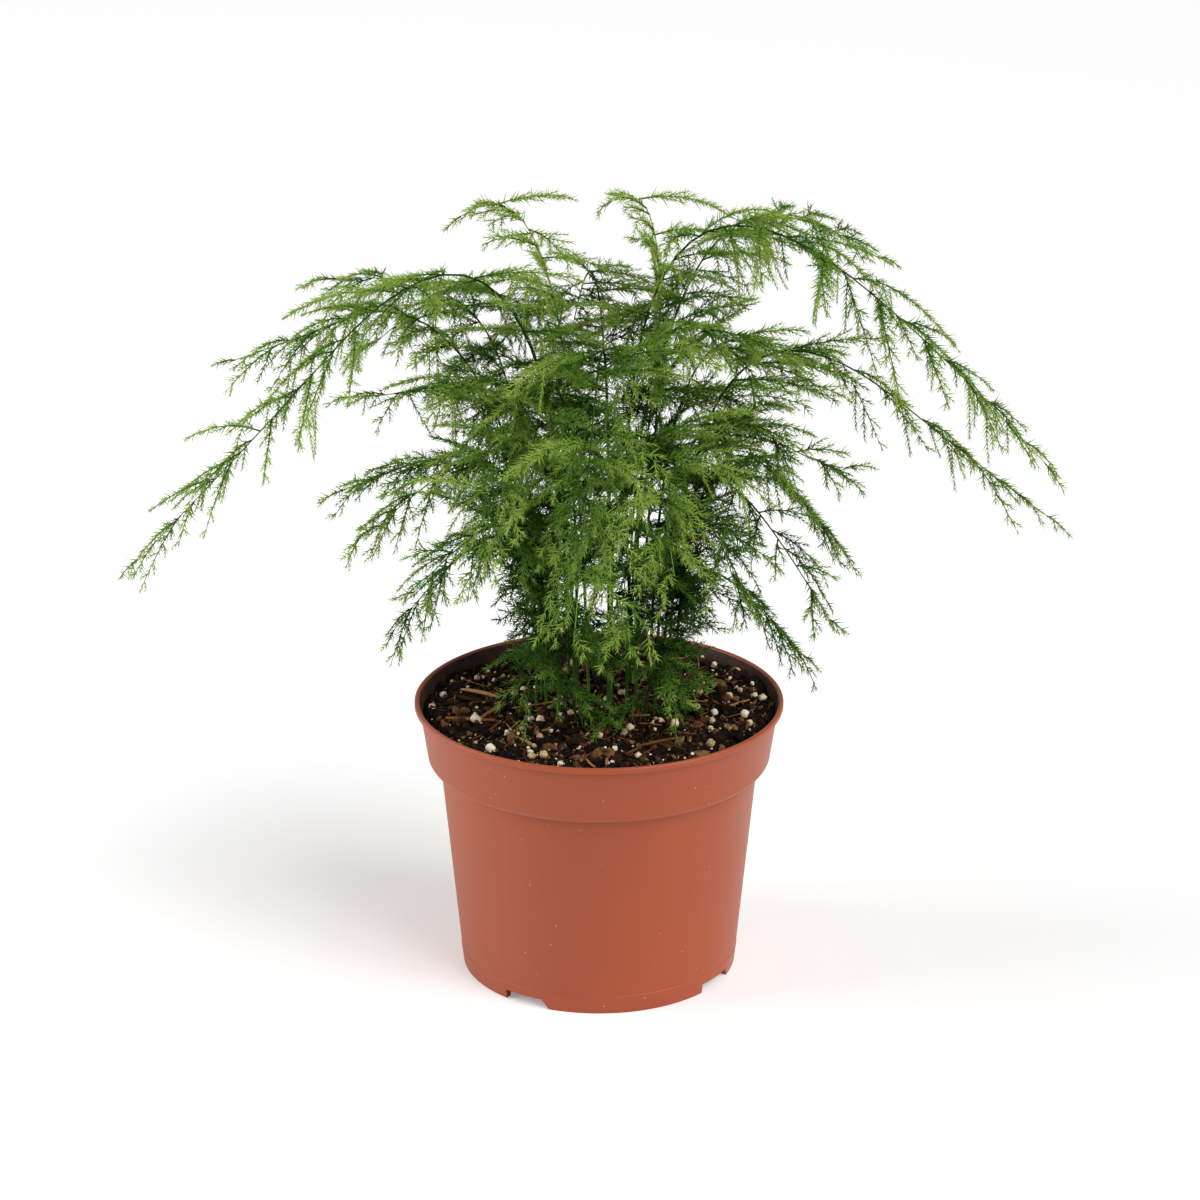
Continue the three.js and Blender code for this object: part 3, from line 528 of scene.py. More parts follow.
class Spray:
    """A side branch of a stem: a quadratic curve in the plane that the frond spreads in."""

    def __init__(self, root, forward, heading, length, droop, place, openness=0.0, feather=False):
        self.root, self.forward, self.heading = root, forward, heading
        self.length, self.droop, self.place = length, droop, place
        self.strands = mix(*STRAND_SHARES, openness)
        self.bushy = mix(*TWIG_SHARES, openness)
        self.feather = feather
        self.bend(0)

    def bend(self, lift):
        root, heading, length = self.root, self.heading, self.length
        self.middle = root + heading * length * 0.5 + UP * length * (0.06 + lift * 0.5)
        self.tip = root + heading * length * 0.92 + self.forward * length * 0.14
        self.tip += UP * (length * lift - self.droop)

    def spot(self, t):
        u = 1 - t
        return self.root * u * u + self.middle * 2 * u * t + self.tip * t * t

    def along(self, t):
        return ((self.middle - self.root) * (1 - t) + (self.tip - self.middle) * t).normalized()

    def normal(self, t):
        made = self.along(t).cross(self.forward)
        if made.length < 0.05:
            made = UP.copy()
        if made.z < 0:
            made.negate()
        return made.normalized()


def sprays_of(stem):
    """The sprays of a stem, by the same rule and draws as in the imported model's source."""
    draw = draws_from(stem.seed)
    roll = math.radians(stem.roll)
    sideways = Vector((-math.sin(stem.heading), math.cos(stem.heading), 0))
    across = sideways * math.cos(roll) + UP * math.sin(roll)
    sprays = []
    for i in range(stem.count):
        place = (i + 0.5) / stem.count
        share = stem.bare + (1 - stem.bare) * place**0.85
        forward = stem.along(share)
        forward.z = clamp(forward.z, STEEPEST_FALL, STEEPEST_RISE)
        forward.normalize()
        side = 1 if i % 2 else -1
        fan = mix(FAN_WIDEST, FAN_NARROWEST, place**0.6) + FAN_SCATTER * (draw() - 0.5)
        fan = math.radians(fan)
        heading = (forward * math.cos(fan) + across * side * math.sin(fan)).normalized()
        heading = (heading + UP * RISE_SCATTER * (draw() - RISE_MIDDLE)).normalized()
        profile = min(1, 0.55 + 3 * place) * (1 - place) ** 0.75 + 0.14
        length = stem.spread * profile * (1 - LENGTH_SCATTER / 2 + LENGTH_SCATTER * draw())
        droop = length * (DROOP_LEAST + DROOP_SCATTER * draw())
        sprays.append(Spray(stem.at(share), forward, heading, length, droop, place, stem.openness()))
    return sprays


def settle(spray, solid):
    """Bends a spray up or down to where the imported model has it."""
    places = SHORT_PLACES if spray.length < SHORT_SPRAY else JOINT_PLACES

    def miss(lift):
        spray.bend(lift)
        return sum(solid.find_nearest(spray.spot(place) * MM)[3] for place in places)

    spray.bend(min(LIFTS, key=miss))


def sprays_between(stem, settings):
    """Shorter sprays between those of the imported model, turned out of its plane, mostly hanging."""
    draw = draws_from(stem.seed + 300)
    openness = stem.openness()
    wanted = mix(*BETWEEN_COUNTS, openness) * settings.fullness
    count = round(stem.count * wanted)
    sprays = []
    for i in range(count):
        place = (i + draw()) / count
        share = mix(0.85 * stem.bare, 0.93, place)
        forward = stem.along(share)
        forward.z = clamp(forward.z, mix(*BETWEEN_FALLS, openness), STEEPEST_RISE)
        forward.normalize()
        roll = math.radians(BETWEEN_ROLL * (draw() + draw() - 1.15))
        sideways = Vector((-math.sin(stem.heading), math.cos(stem.heading), 0))
        side = 1 if draw() < 0.5 else -1
        across = sideways * side * math.cos(roll) + UP * math.sin(roll)
        fan = mix(mix(*BETWEEN_FANS, openness), FAN_NARROWEST, place) + 26 * (draw() - 0.5)
        fan = math.radians(fan)
        heading = (forward * math.cos(fan) + across * math.sin(fan)).normalized()
        longest = mix(*BETWEEN_LONGEST, openness)
        length = mix(BETWEEN_SHORTEST, longest, draw()) * (1 - 0.45 * place)
        droop = length * mix(DROOP_LEAST, mix(*BETWEEN_DROOPS, openness), draw())
        sprays.append(Spray(stem.at(share), forward, heading, length, droop, place, openness))
    return sprays


def crown_of(stem, settings):
    """Flat sprays that lie level one over another on the high part of a stem near the pot's axis."""
    draw = draws_from(stem.seed + 700)
    roots = [stem.at(i / CROWN_PLACES) for i in range(10, CROWN_PLACES - 3)]
    roots = [root for root in roots if root.z > CROWN_BOTTOM and root.xy.length < CROWN_RADIUS]
    count = round(settings.crown * min(1, 2.5 * len(roots) / CROWN_PLACES))
    sprays = []
    for i in range(count):
        root = roots[int(len(roots) * (i + draw()) / count)]
        angle = math.radians(180 if draw() < 0.5 else 0) + math.radians(mix(-65, 65, draw()))
        rise = mix(-0.1, 0.2, draw())
        heading = Vector((math.cos(angle), math.sin(angle), rise)).normalized()
        length = mix(*CROWN_LENGTHS, draw())
        droop = length * mix(0.05, 0.3, draw())
        forward = UP.cross(heading).normalized() * 0.3
        sprays.append(Spray(root, forward, heading, length, droop, 0.5, 0.2))
    return sprays


def feathers_of(stem, settings):
    """Short dense feathers on the bare foot of a stem, which fill the clump and hide its stems."""
    draw = draws_from(stem.seed + 500)
    feathers = []
    if stem.name.startswith("sprig"):
        return feathers
    outside = math.atan2(stem.y - CLUMP_CENTRE[1], stem.x - CLUMP_CENTRE[0])
    for i in range(settings.feathers):
        place = (i + draw()) / settings.feathers
        share = mix(0.2, 0.97 * stem.bare, place)
        angle = outside + math.radians(mix(-100, 100, draw()))
        outward = Vector((math.cos(angle), math.sin(angle), 0))
        sideways = UP.cross(outward)
        rise = math.radians(mix(-15, 50, draw()))
        heading = outward * math.cos(rise) + UP * math.sin(rise)
        root = stem.at(share)
        length = min(mix(15, 30, draw()), 6 + 0.3 * (root.z - 100))
        droop = length * mix(0.25, 0.6, draw())
        feather = Spray(root, sideways, heading, length, droop, 0.3, feather=True)
        if feather.tip.z > SOIL_EDGE + FOOT_BARE:
            feathers.append(feather)
    return feathers


def outsideness(spot):
    """Where a spot lies between the middle of the clump, at 0, and its outside, at 1, for the foliage's
    painted shade.
    """
    return clamp((spot - Vector(PAINTED_SHADE_CENTRE)).length / PAINTED_SHADE_REACH, 0, 1)


def leaf_out(bm, spray, tone, draw, needles, twigs, settings):
    """Clothes a spray: its own core, its twigs by turns left and right, and tufts between them."""
    # Painted shade: a spray's leaves are painted darker the nearer it lies to the middle of the clump.
    tone += PAINTED_SHADE_SWING * (outsideness(spray.spot(0.6)) - PAINTED_SHADE_EVEN)
    steps = 4 if spray.length < SHORT_SPRAY else 7
    path = []
    for i in range(steps + 1):
        share = i / steps
        path.append((spray.spot(share), mix(0.28, 0.1, share), mix(0.3, 0.6, share)))
    add_tube(bm, path, 4)

    gap, lean, longest = settings.twig_gap / MM, TWIG_LEAN, TWIG_LONGEST
    if spray.feather:
        gap, lean, longest = settings.feather_gap / MM, FEATHER_LEAN, FEATHER_LONGEST
    count = max(2, round(0.92 * spray.length / gap))
    side = 1 if draw() < 0.5 else -1
    for i in range(count):
        share = 0.07 + 0.9 * (i + 0.3 + 0.4 * draw()) / count
        along, normal = spray.along(share), spray.normal(share)
        side = -side
        left = normal.cross(along) * side
        # Darker at the spray's foot, lighter at its tip: partly growth, partly painted shade inside the clump.
        growth_and_shade_tone = tone - 0.15 + 0.45 * share + 0.14 * (draw() - 0.5)
        if draw() < spray.strands and share < 0.75:
            length = mix(*STRAND_LENGTHS, draw()) * min(1, spray.length / 30)
            heading = along * 0.4 + left * 0.2 - UP
            normal = left
        else:
            reach = spray.bushy * spray.length * (1 - share) ** 0.8 * min(1, 0.5 + 3 * share) + 2.4
            length = clamp(reach, 3, longest) * (0.8 + 0.4 * draw())
            turn = math.radians(lean + 16 * (draw() - 0.5))
            heading = along * math.cos(turn) + left * math.sin(turn) + UP * 0.2 * (draw() - 0.6)
            normal = normal * -side
        nearest = min(twigs, key=lambda size: abs(size - length))
        pattern = twigs[nearest][int(draw() * TWIG_KINDS) % TWIG_KINDS]
        place = placed(spray.spot(share), heading, normal, length / pattern.length)
        pattern.copy_into(bm, place, growth_and_shade_tone)

    tufts = round(spray.length / (1.3 * settings.tuft_gap / MM))
    for i in range(tufts):
        share = min(0.995, 0.05 + 0.95 * (i + draw()) / tufts)
        size = mix(1, 0.65, share)
        lean = mix(46, 20, share**3)
        # Darker at the spray's foot, lighter at its tip: partly growth, partly painted shade inside the clump.
        growth_and_shade_tone = tone - 0.15 + 0.45 * share
        along, normal = spray.along(share), spray.normal(share)
        count = settings.tuft_needles
        fascicle(bm, needles, draw, spray.spot(share), along, normal, count, lean, size, growth_and_shade_tone)


def frond_piece(row, needles, twigs, materials, settings):
    """One frond: its stem, and every spray with its twigs and needles, in one mesh."""
    stem = Stem(row)
    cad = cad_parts[stem.name]
    solid = BVHTree.FromObject(cad, bpy.context.evaluated_depsgraph_get())
    draw = draws_from(stem.seed + 1000)
    young = "young" in stem.name
    bm = new_shape()
    path = []
    for i in range(STEM_POINTS + 1):
        share = i / STEM_POINTS
        tone = along_stops(STEM_TONES, share) + (YOUNG_STEM if young else 0)
        path.append((stem.at(share), along_stops(STEM_RADII, share), tone))
    add_tube(bm, path, 8)
    base = YOUNG_TONE if young else mix(*FROND_TONES, draw())
    for spray in sprays_of(stem):
        settle(spray, solid)
        tone = base + 0.18 * spray.place + 0.12 * (draw() - 0.5)
        leaf_out(bm, spray, tone, draw, needles, twigs, settings)
    for spray in sprays_between(stem, settings):
        leaf_out(bm, spray, base - 0.05 + 0.2 * draw(), draw, needles, twigs, settings)
    for spray in crown_of(stem, settings):
        leaf_out(bm, spray, base + 0.05 + 0.2 * draw(), draw, needles, twigs, settings)
    for feather in feathers_of(stem, settings):
        leaf_out(bm, feather, base - 0.1 + 0.3 * draw(), draw, needles, twigs, settings)
    mesh = to_mesh(bm, stem.name + "_leafy")
    return finish_piece(stem.name + "_leafy", mesh, materials, [stem.name])


# Soil


def soil_height(x, y):
    """The soil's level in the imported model."""
    from_mound = math.hypot(x - MOUND_CENTRE[0], y - MOUND_CENTRE[1])
    mound = SOIL_MOUND * math.exp(-((from_mound / MOUND_SPREAD) ** 2))
    from_hollow = math.hypot(x - HOLLOW_CENTRE[0], y - HOLLOW_CENTRE[1])
    hollow = SOIL_HOLLOW * math.exp(-((from_hollow / HOLLOW_SPREAD) ** 2))
    lumps = math.sin(x * 0.21 + 1.3) * math.cos(y * 0.19) + math.sin(x * 0.12 - y * 0.16)
    return SOIL_EDGE + mound - hollow + SOIL_ROUGHNESS * lumps


def crumbled_height(x, y):
    """The same level with the crumbs of loose peat on it."""
    height = soil_height(x, y)
    for size, shift, swell in CRUMBLES:
        height += swell * noise.noise(Vector((x / size, y / size, shift)))
    return height - CRUMBLE_SINK


def soil_bed():
    """The body of the soil: a side inside the pot's wall and a crumbled top."""
    floor_level = FLOOR_TOP + FIT_GAP
    side = [(0, floor_level), (41.7, floor_level), (43.9, 8.5), (50, 69.9), (53.4, 73)]
    side.append((SOIL_RADIUS - 1.4, SOIL_BED_SIDE))
    top = [(SOIL_RADIUS * (1 - i / SOIL_RINGS), SOIL_EDGE) for i in range(SOIL_RINGS + 1)]
    bm = spun(side + top, SOIL_STEPS)
    for vert in bm.verts:
        if vert.co.z > SOIL_BED_SIDE + 1:
            vert.co.z = crumbled_height(vert.co.x, vert.co.y)
    return to_mesh(bm, "soil_bed")


def lump_pattern(draw, subdivisions, roughness, flat, stretch=1.0):
    """A rough lump of about 1 mm radius, stretched along X."""
    bm = new_shape()
    tone_of = bm.verts.layers.float["tone"]
    bmesh.ops.create_icosphere(bm, subdivisions=subdivisions, radius=1)
    shift = Vector((50 * draw(), 50 * draw(), 50 * draw()))
    for vert in bm.verts:
        swell = 1 + roughness * noise.noise(vert.co * 1.3 + shift)
        swell += 0.4 * roughness * noise.noise(vert.co * 3.1 + shift)
        vert.co *= swell
        vert.co.x *= stretch
        vert.co.z *= flat
        vert[tone_of] = 0.1 * (swell - 1)
    return Pattern(to_mesh(bm, "lump"), 1)


def strip_pattern(draw, thick):
    """A fibre or a sliver of bark along +X, 1 mm long before it is scaled, bent and tapered."""
    bends = [(draw() - 0.5) * 0.3 for _ in range(4)]
    path = []
    for i in range(6):
        share = i / 5
        y = bends[0] * share + bends[1] * share * share
        z = bends[2] * share * (1 - share)
        radius = thick * math.sin(math.pi * mix(0.12, 0.9, share)) ** 0.5
        path.append((Vector((share - 0.5, y, z)), radius, 0))
    return Pattern(tube(path, 4), 1)


def scatter(bm, count, patterns, draw, sizes, sunk, tones, spread=55, tilt=1.0):
    """Strews copies of a few patterns over the soil, each turned, scaled and toned by draws."""
    for _ in range(count):
        pattern = patterns[int(draw() * len(patterns)) % len(patterns)]
        angle = 2 * math.pi * draw()
        radius = spread * math.sqrt(draw())
        size = mix(sizes[0], sizes[1], draw() ** 2)
        x, y = radius * math.cos(angle), radius * math.sin(angle)
        z = crumbled_height(x, y) + sunk * size
        turn = Matrix.Rotation(2 * math.pi * draw(), 4, "Z")
        turn = turn @ Matrix.Rotation(tilt * (draw() - 0.5), 4, "Y")
        turn = turn @ Matrix.Rotation(2 * math.pi * draw(), 4, "X")
        place = Matrix.Translation((x, y, z)) @ turn @ Matrix.Scale(size, 4)
        pattern.copy_into(bm, place, mix(tones[0], tones[1], draw()))


# Materials


def add(tree, kind, inputs=None, **settings):
    """Adds a node: its settings by name, and its inputs by name or number, each a value or a socket."""
    node = tree.nodes.new(kind)
    for name, value in settings.items():
        setattr(node, name, value)
    for name, value in (inputs or {}).items():
        if isinstance(value, bpy.types.NodeSocket):
            tree.links.new(value, node.inputs[name])
        else:
            node.inputs[name].default_value = value
    return node


def new_material(name):
    """An empty material, with its node tree and its own coordinates."""
    material = bpy.data.materials.new(name)
    material.use_nodes = True
    tree = material.node_tree
    tree.nodes.clear()
    place = add(tree, "ShaderNodeTexCoord").outputs["Object"]
    return material, tree, place


def surface(tree, inputs):
    """Ends a material with its shader."""
    shader = add(tree, "ShaderNodeBsdfPrincipled", inputs)
    add(tree, "ShaderNodeOutputMaterial", {"Surface": shader.outputs["BSDF"]})


def graded(tree, value, colours):
    """Turns a value into a colour through evenly spaced colours."""
    ramp = add(tree, "ShaderNodeValToRGB", {"Fac": value})
    stops = ramp.color_ramp.elements
    last = len(colours) - 1
    for i, colour in enumerate(colours):
        stop = stops[0] if i == 0 else stops[-1] if i == last else stops.new(i / last)
        stop.position = i / last
        stop.color = (*colour[:3], 1)
    return ramp.outputs["Color"]


def ranged(tree, value, before, after):
    """Moves a value from one range to another."""
    limits = {"From Min": before[0], "From Max": before[1], "To Min": after[0], "To Max": after[1]}
    return add(tree, "ShaderNodeMapRange", {"Value": value, **limits}).outputs["Result"]


def toned(tree, place, colours, patch, strength):
    """A colour from the piece's own tone, varied in patches of the given size in millimetres."""
    tone = add(tree, "ShaderNodeAttribute", attribute_name="tone").outputs["Fac"]
    patches = add(tree, "ShaderNodeTexNoise", {"Vector": place, "Scale": 1 / (patch * MM), "Detail": 2.0})
    shifted = add(
        tree,
        "ShaderNodeMath",
        {0: patches.outputs["Fac"], 1: strength, 2: -0.5 * strength},
        operation="MULTIPLY_ADD",
    )
    total = add(tree, "ShaderNodeMath", {0: tone, 1: shifted.outputs["Value"]}, operation="ADD")
    return graded(tree, total.outputs["Value"], colours)


def pot_material(settings):
    """Injection-moulded polypropylene coloured like terracotta: satin, with a fine grain and dust."""
    material, tree, place = new_material("polypropylene_terracotta")
    cloud = add(tree, "ShaderNodeTexNoise", {"Vector": place, "Scale": 1 / (24 * MM), "Detail": 3.0})
    deep, pale = Vector(settings.colour), Vector(settings.pale_colour)
    body = graded(tree, cloud.outputs["Fac"], [deep, deep.lerp(pale, 0.5), pale])
    dust = add(tree, "ShaderNodeTexVoronoi", {"Vector": place, "Scale": 1 / (5.5 * MM)})
    speck = ranged(tree, dust.outputs["Distance"], (0.025, 0.05), (0.55, 0.0))
    dusty = add(
        tree,
        "ShaderNodeMix",
        {0: speck, 6: body, 7: linear("#E9CDB8", True)},
        data_type="RGBA",
    )
    grain = add(tree, "ShaderNodeTexNoise", {"Vector": place, "Scale": 1 / (0.7 * MM), "Detail": 2.0})
    bump = add(
        tree,
        "ShaderNodeBump",
        {"Height": grain.outputs["Fac"], "Strength": 0.12, "Distance": 0.06 * MM},
    )
    satin = ranged(tree, cloud.outputs["Fac"], (0.3, 0.7), (0.42, 0.54))
    surface(
        tree,
        {
            "Base Color": dusty.outputs[2],
            "Roughness": satin,
            "Normal": bump.outputs["Normal"],
            "IOR": 1.49,
            "Sheen Weight": 0.2,
            "Sheen Roughness": 0.5,
            "Sheen Tint": linear("#FFE4D8", True),
        },
    )
    return material


def inside_shade_material():
    """Painted shade: the same plastic above the soil on the inside, painted dark, matt and blotched where
    shade falls.
    """
    material, tree, place = new_material("polypropylene_painted_shade")
    # Painted shade: dark blotched browns stand in for the shade inside the pot.
    shade_blotches = add(tree, "ShaderNodeTexNoise", {"Vector": place, "Scale": 1 / (5 * MM), "Detail": 4.0})
    colour = graded(tree, shade_blotches.outputs["Fac"], [linear(code) for code in INSIDE_SHADE_COLOURS])
    surface(tree, {"Base Color": colour, "Roughness": 0.75})
    return material


def green_material(name, colours, roughness, patch):
    """Living plant, a waxy skin: its tone, of age and on the leaves of painted shade, runs its green from dark
    to fresh yellow.
    """
    material, tree, place = new_material(name)
    colour = toned(tree, place, [linear(code) for code in colours], patch, 0.22)
    surface(tree, {"Base Color": colour, "Roughness": roughness, "Specular IOR Level": 0.0})
    return material


def crumb_material(name, colours, patch, strength, roughness, grain):
    """Dry matter of the potting mix: matt, mottled, with a rough grain."""
    material, tree, place = new_material(name)
    colour = toned(tree, place, [linear(code) for code in colours], patch, strength)
    pits = add(tree, "ShaderNodeTexNoise", {"Vector": place, "Scale": 1 / (grain * MM), "Detail": 3.0})
    bump = add(
        tree,
        "ShaderNodeBump",
        {"Height": pits.outputs["Fac"], "Strength": 0.7, "Distance": 0.25 * MM},
    )
    surface(
        tree,
        {
            "Base Color": colour,
            "Roughness": roughness,
            "Normal": bump.outputs["Normal"],
            "Specular IOR Level": 0.15,
        },
    )
    return material


# Settings


class PotSettings(bpy.types.PropertyGroup):
    """Sizes and colours of the pot."""

    lip_round: bpy.props.FloatProperty(
        name="Lip rounding",
        description="Radius of the rounded edges of the lip",
        default=0.55 * MM,
        min=0.1 * MM,
        max=1 * MM,
        unit="LENGTH",
    )
    colour: bpy.props.FloatVectorProperty(
        name="Terracotta",
        description="The deeper colour of the pot",
        default=linear("#9C4018"),
        min=0,
        max=1,
        subtype="COLOR",
    )
    pale_colour: bpy.props.FloatVectorProperty(
        name="Pale terracotta",
        description="The lighter colour that clouds the pot",
        default=linear("#A4481E"),
        min=0,
        max=1,
        subtype="COLOR",
    )


class SoilSettings(bpy.types.PropertyGroup):
    """How much of each thing the potting mix shows."""

    crumbs: bpy.props.IntProperty(
        name="Crumbs",
        description="Number of loose peat crumbs",
        default=1900,
        min=0,
        max=4000,
    )
    fibres: bpy.props.IntProperty(
        name="Fibres",
        description="Number of coir fibres and bark slivers",
        default=300,
        min=0,
        max=1000,
    )
    grains: bpy.props.IntProperty(
        name="Perlite grains",
        description="Number of perlite grains",
        default=130,
        min=0,
        max=600,
    )


class FoliageSettings(bpy.types.PropertyGroup):
    """Sizes of twigs and needles."""

    twig_gap: bpy.props.FloatProperty(
        name="Twig gap",
        description="Distance between two twigs along a spray",
        default=2.9 * MM,
        min=1.5 * MM,
        max=10 * MM,
        unit="LENGTH",
    )
    tuft_gap: bpy.props.FloatProperty(
        name="Tuft gap",
        description="Distance between two tufts of needles along a twig",
        default=1.2 * MM,
        min=0.6 * MM,
        max=5 * MM,
        unit="LENGTH",
    )
    tuft_needles: bpy.props.IntProperty(
        name="Needles in a tuft",
        description="Number of needles that leave one spot",
        default=3,
        min=1,
        max=8,
    )
    needle_length: bpy.props.FloatProperty(
        name="Needle length",
        description="Length of a full-grown needle",
        default=3.4 * MM,
        min=1 * MM,
        max=10 * MM,
        unit="LENGTH",
    )
    needle_radius: bpy.props.FloatProperty(
        name="Needle radius",
        description="Radius of a needle where it is thickest",
        default=0.24 * MM,
        min=0.05 * MM,
        max=0.5 * MM,
        unit="LENGTH",
    )
    fullness: bpy.props.FloatProperty(
        name="Fullness",
        description="How many shorter sprays grow between the main ones",
        default=1,
        min=0,
        max=3,
        subtype="FACTOR",
    )
    crown: bpy.props.IntProperty(
        name="Crown sprays",
        description="Most level sprays that one stem carries in the crown",
        default=7,
        min=0,
        max=20,
    )
    feathers: bpy.props.IntProperty(
        name="Feathers",
        description="Number of short feathers on the foot of each stem",
        default=8,
        min=0,
        max=20,
    )
    feather_gap: bpy.props.FloatProperty(
        name="Feather gap",
        description="Distance between two twigs along a feather",
        default=2 * MM,
        min=1 * MM,
        max=10 * MM,
        unit="LENGTH",
    )


class StageSettings(bpy.types.PropertyGroup):
    """The floor, the lights and the camera."""

    floor_colour: bpy.props.FloatVectorProperty(
        name="Floor",
        description="Colour of the floor",
        default=(0.86, 0.86, 0.86),
        min=0,
        max=1,
        subtype="COLOR",
    )
    floor_glow: bpy.props.FloatProperty(
        name="Floor glow",
        description="How far the floor is lifted toward white where the camera sees it",
        default=0.24,
        min=0,
        max=2,
    )
    key_strength: bpy.props.FloatProperty(
        name="Key light",
        description="Strength of the wide soft light from the right, the front and above",
        default=2.9,
        min=0,
        max=20,
    )
    fill_power: bpy.props.FloatProperty(
        name="Fill light",
        description="Power of the soft light from the left",
        default=10,
        min=0,
        max=100,
        unit="POWER",
    )
    sky_strength: bpy.props.FloatProperty(
        name="Sky",
        description="Strength of the even light from all round",
        default=0.26,
        min=0,
        max=5,
    )


# Operators


class FERN_OT_pot(bpy.types.Operator):
    """Builds the nursery pot with its lip, collar, step, foot notches and drain holes"""

    bl_idname = "fern.pot"
    bl_label = "Pot"

    def execute(self, context):
        settings = context.scene.fern_pot
        foot_inside = FOOT_RADIUS - FOOT_RING
        slope = (WALL_TOP[0] - FOOT_RADIUS) / WALL_TOP[1]
        line_radius = FOOT_RADIUS + slope * MOULD_LINE
        step_corner = (COLLAR_BOTTOM[0] - STEP_CHAMFER[0], COLLAR_BOTTOM[1] - STEP_CHAMFER[1])
        outline = [
            (0, FLOOR_UNDERSIDE),
            (foot_inside - FOOT_TAPER, FLOOR_UNDERSIDE),
            (foot_inside, 0),
            (FOOT_RADIUS, 0),
            (line_radius + MOULD_STEP, MOULD_LINE),
            (line_radius, MOULD_LINE + MOULD_FADE),
            WALL_TOP,
            step_corner,
            COLLAR_BOTTOM,
            COLLAR_TOP,
            LIP_CORNER,
            (RIM_RADIUS, POT_HEIGHT),
            LIP_INSIDE,
            (COLLAR_TOP[0] - WALL, FLARE_BOTTOM),
            (COLLAR_BOTTOM[0] - WALL, COLLAR_BOTTOM[1] - 0.6),
            (WALL_TOP[0] - WALL, WALL_TOP[1] - 0.8),
            (FOOT_RADIUS - 0.8, FLOOR_TOP + 3),
            (FOOT_RADIUS - 3, FLOOR_TOP),
            (0, FLOOR_TOP),
        ]
        bm = spun(outline, POT_STEPS)

        def ring_near(edge, radius, height):
            ends = [(math.hypot(v.co.x, v.co.y), v.co.z) for v in edge.verts]
            return all(abs(r - radius) < 0.05 and abs(z - height) < 0.05 for r, z in ends)

        lip = [LIP_CORNER, (RIM_RADIUS, POT_HEIGHT), LIP_INSIDE]
        rounded(bm, lambda edge: any(ring_near(edge, *spot) for spot in lip), settings.lip_round / MM)
        soft = [COLLAR_BOTTOM, step_corner, WALL_TOP, COLLAR_TOP, (FOOT_RADIUS, 0), (foot_inside, 0)]
        rounded(bm, lambda edge: any(ring_near(edge, *spot) for spot in soft), EDGE_ROUND)
        shell = bpy.data.objects.new("shell", to_mesh(bm, "shell"))
        bpy.context.scene.collection.objects.link(shell)
        cutter = self.cutter()
        cut = shell.modifiers.new("cut", "BOOLEAN")
        cut.object = cutter
        cut.operation = "DIFFERENCE"
        cut.solver = "EXACT"
        graph = bpy.context.evaluated_depsgraph_get()
        mesh = bpy.data.meshes.new_from_object(shell.evaluated_get(graph))
        bpy.data.objects.remove(shell)
        bpy.data.objects.remove(cutter)
        materials = [pot_material(settings), inside_shade_material()]
        piece = finish_piece("pot_moulded", mesh, materials, ["pot"])
        # Painted shade: the inside faces, up to just under the lip, take the dark painted-shade plastic.
        for face in piece.data.polygons:
            outward = face.center.x * face.normal.x + face.center.y * face.normal.y
            inside = outward < 0 and face.center.z > FLOOR_UNDERSIDE * MM
            face.material_index = 1 if inside and face.center.z < INSIDE_SHADE_TOP * MM else 0
        piece.data.set_sharp_from_angle(angle=math.radians(SHARP_ANGLE))
        return {"FINISHED"}

    def cutter(self):
        """The foot notches and the drain holes as one cutting solid."""
        bm = bmesh.new()
        for i in range(NOTCH_COUNT):
            angle = math.radians(NOTCH_FIRST_ANGLE + 360 / NOTCH_COUNT * i)
            outward = Vector((math.cos(angle), math.sin(angle), 0))
            across = UP.cross(outward)
            made = bmesh.ops.create_cube(bm, size=1)["verts"]
            for vert in made:
                side, depth, high = vert.co.x, vert.co.y, vert.co.z > 0
                reach = side * NOTCH_WIDTH - (NOTCH_SLANT if high and side > 0 else 0)
                spot = across * reach + outward * (NOTCH_MIDDLE + NOTCH_DEPTH * depth)
                spot.z = NOTCH_HEIGHT if high else -NOTCH_BELOW
                vert.co = spot
        for i in range(DRAIN_COUNT):
            angle = math.radians(360 / DRAIN_COUNT * (i + 0.5))
            x, y = DRAIN_CIRCLE * math.cos(angle), DRAIN_CIRCLE * math.sin(angle)
            bmesh.ops.create_cone(
                bm,
                cap_ends=True,
                segments=DRAIN_SIDES,
                radius1=DRAIN_RADIUS,
                radius2=DRAIN_RADIUS,
                depth=3 * WALL,
                matrix=Matrix.Translation((x, y, FLOOR_UNDERSIDE + WALL / 2)),
            )
        bmesh.ops.recalc_face_normals(bm, faces=bm.faces)
        cutter = bpy.data.objects.new("cutter", to_mesh(bm, "cutter"))
        bpy.context.scene.collection.objects.link(cutter)
        return cutter


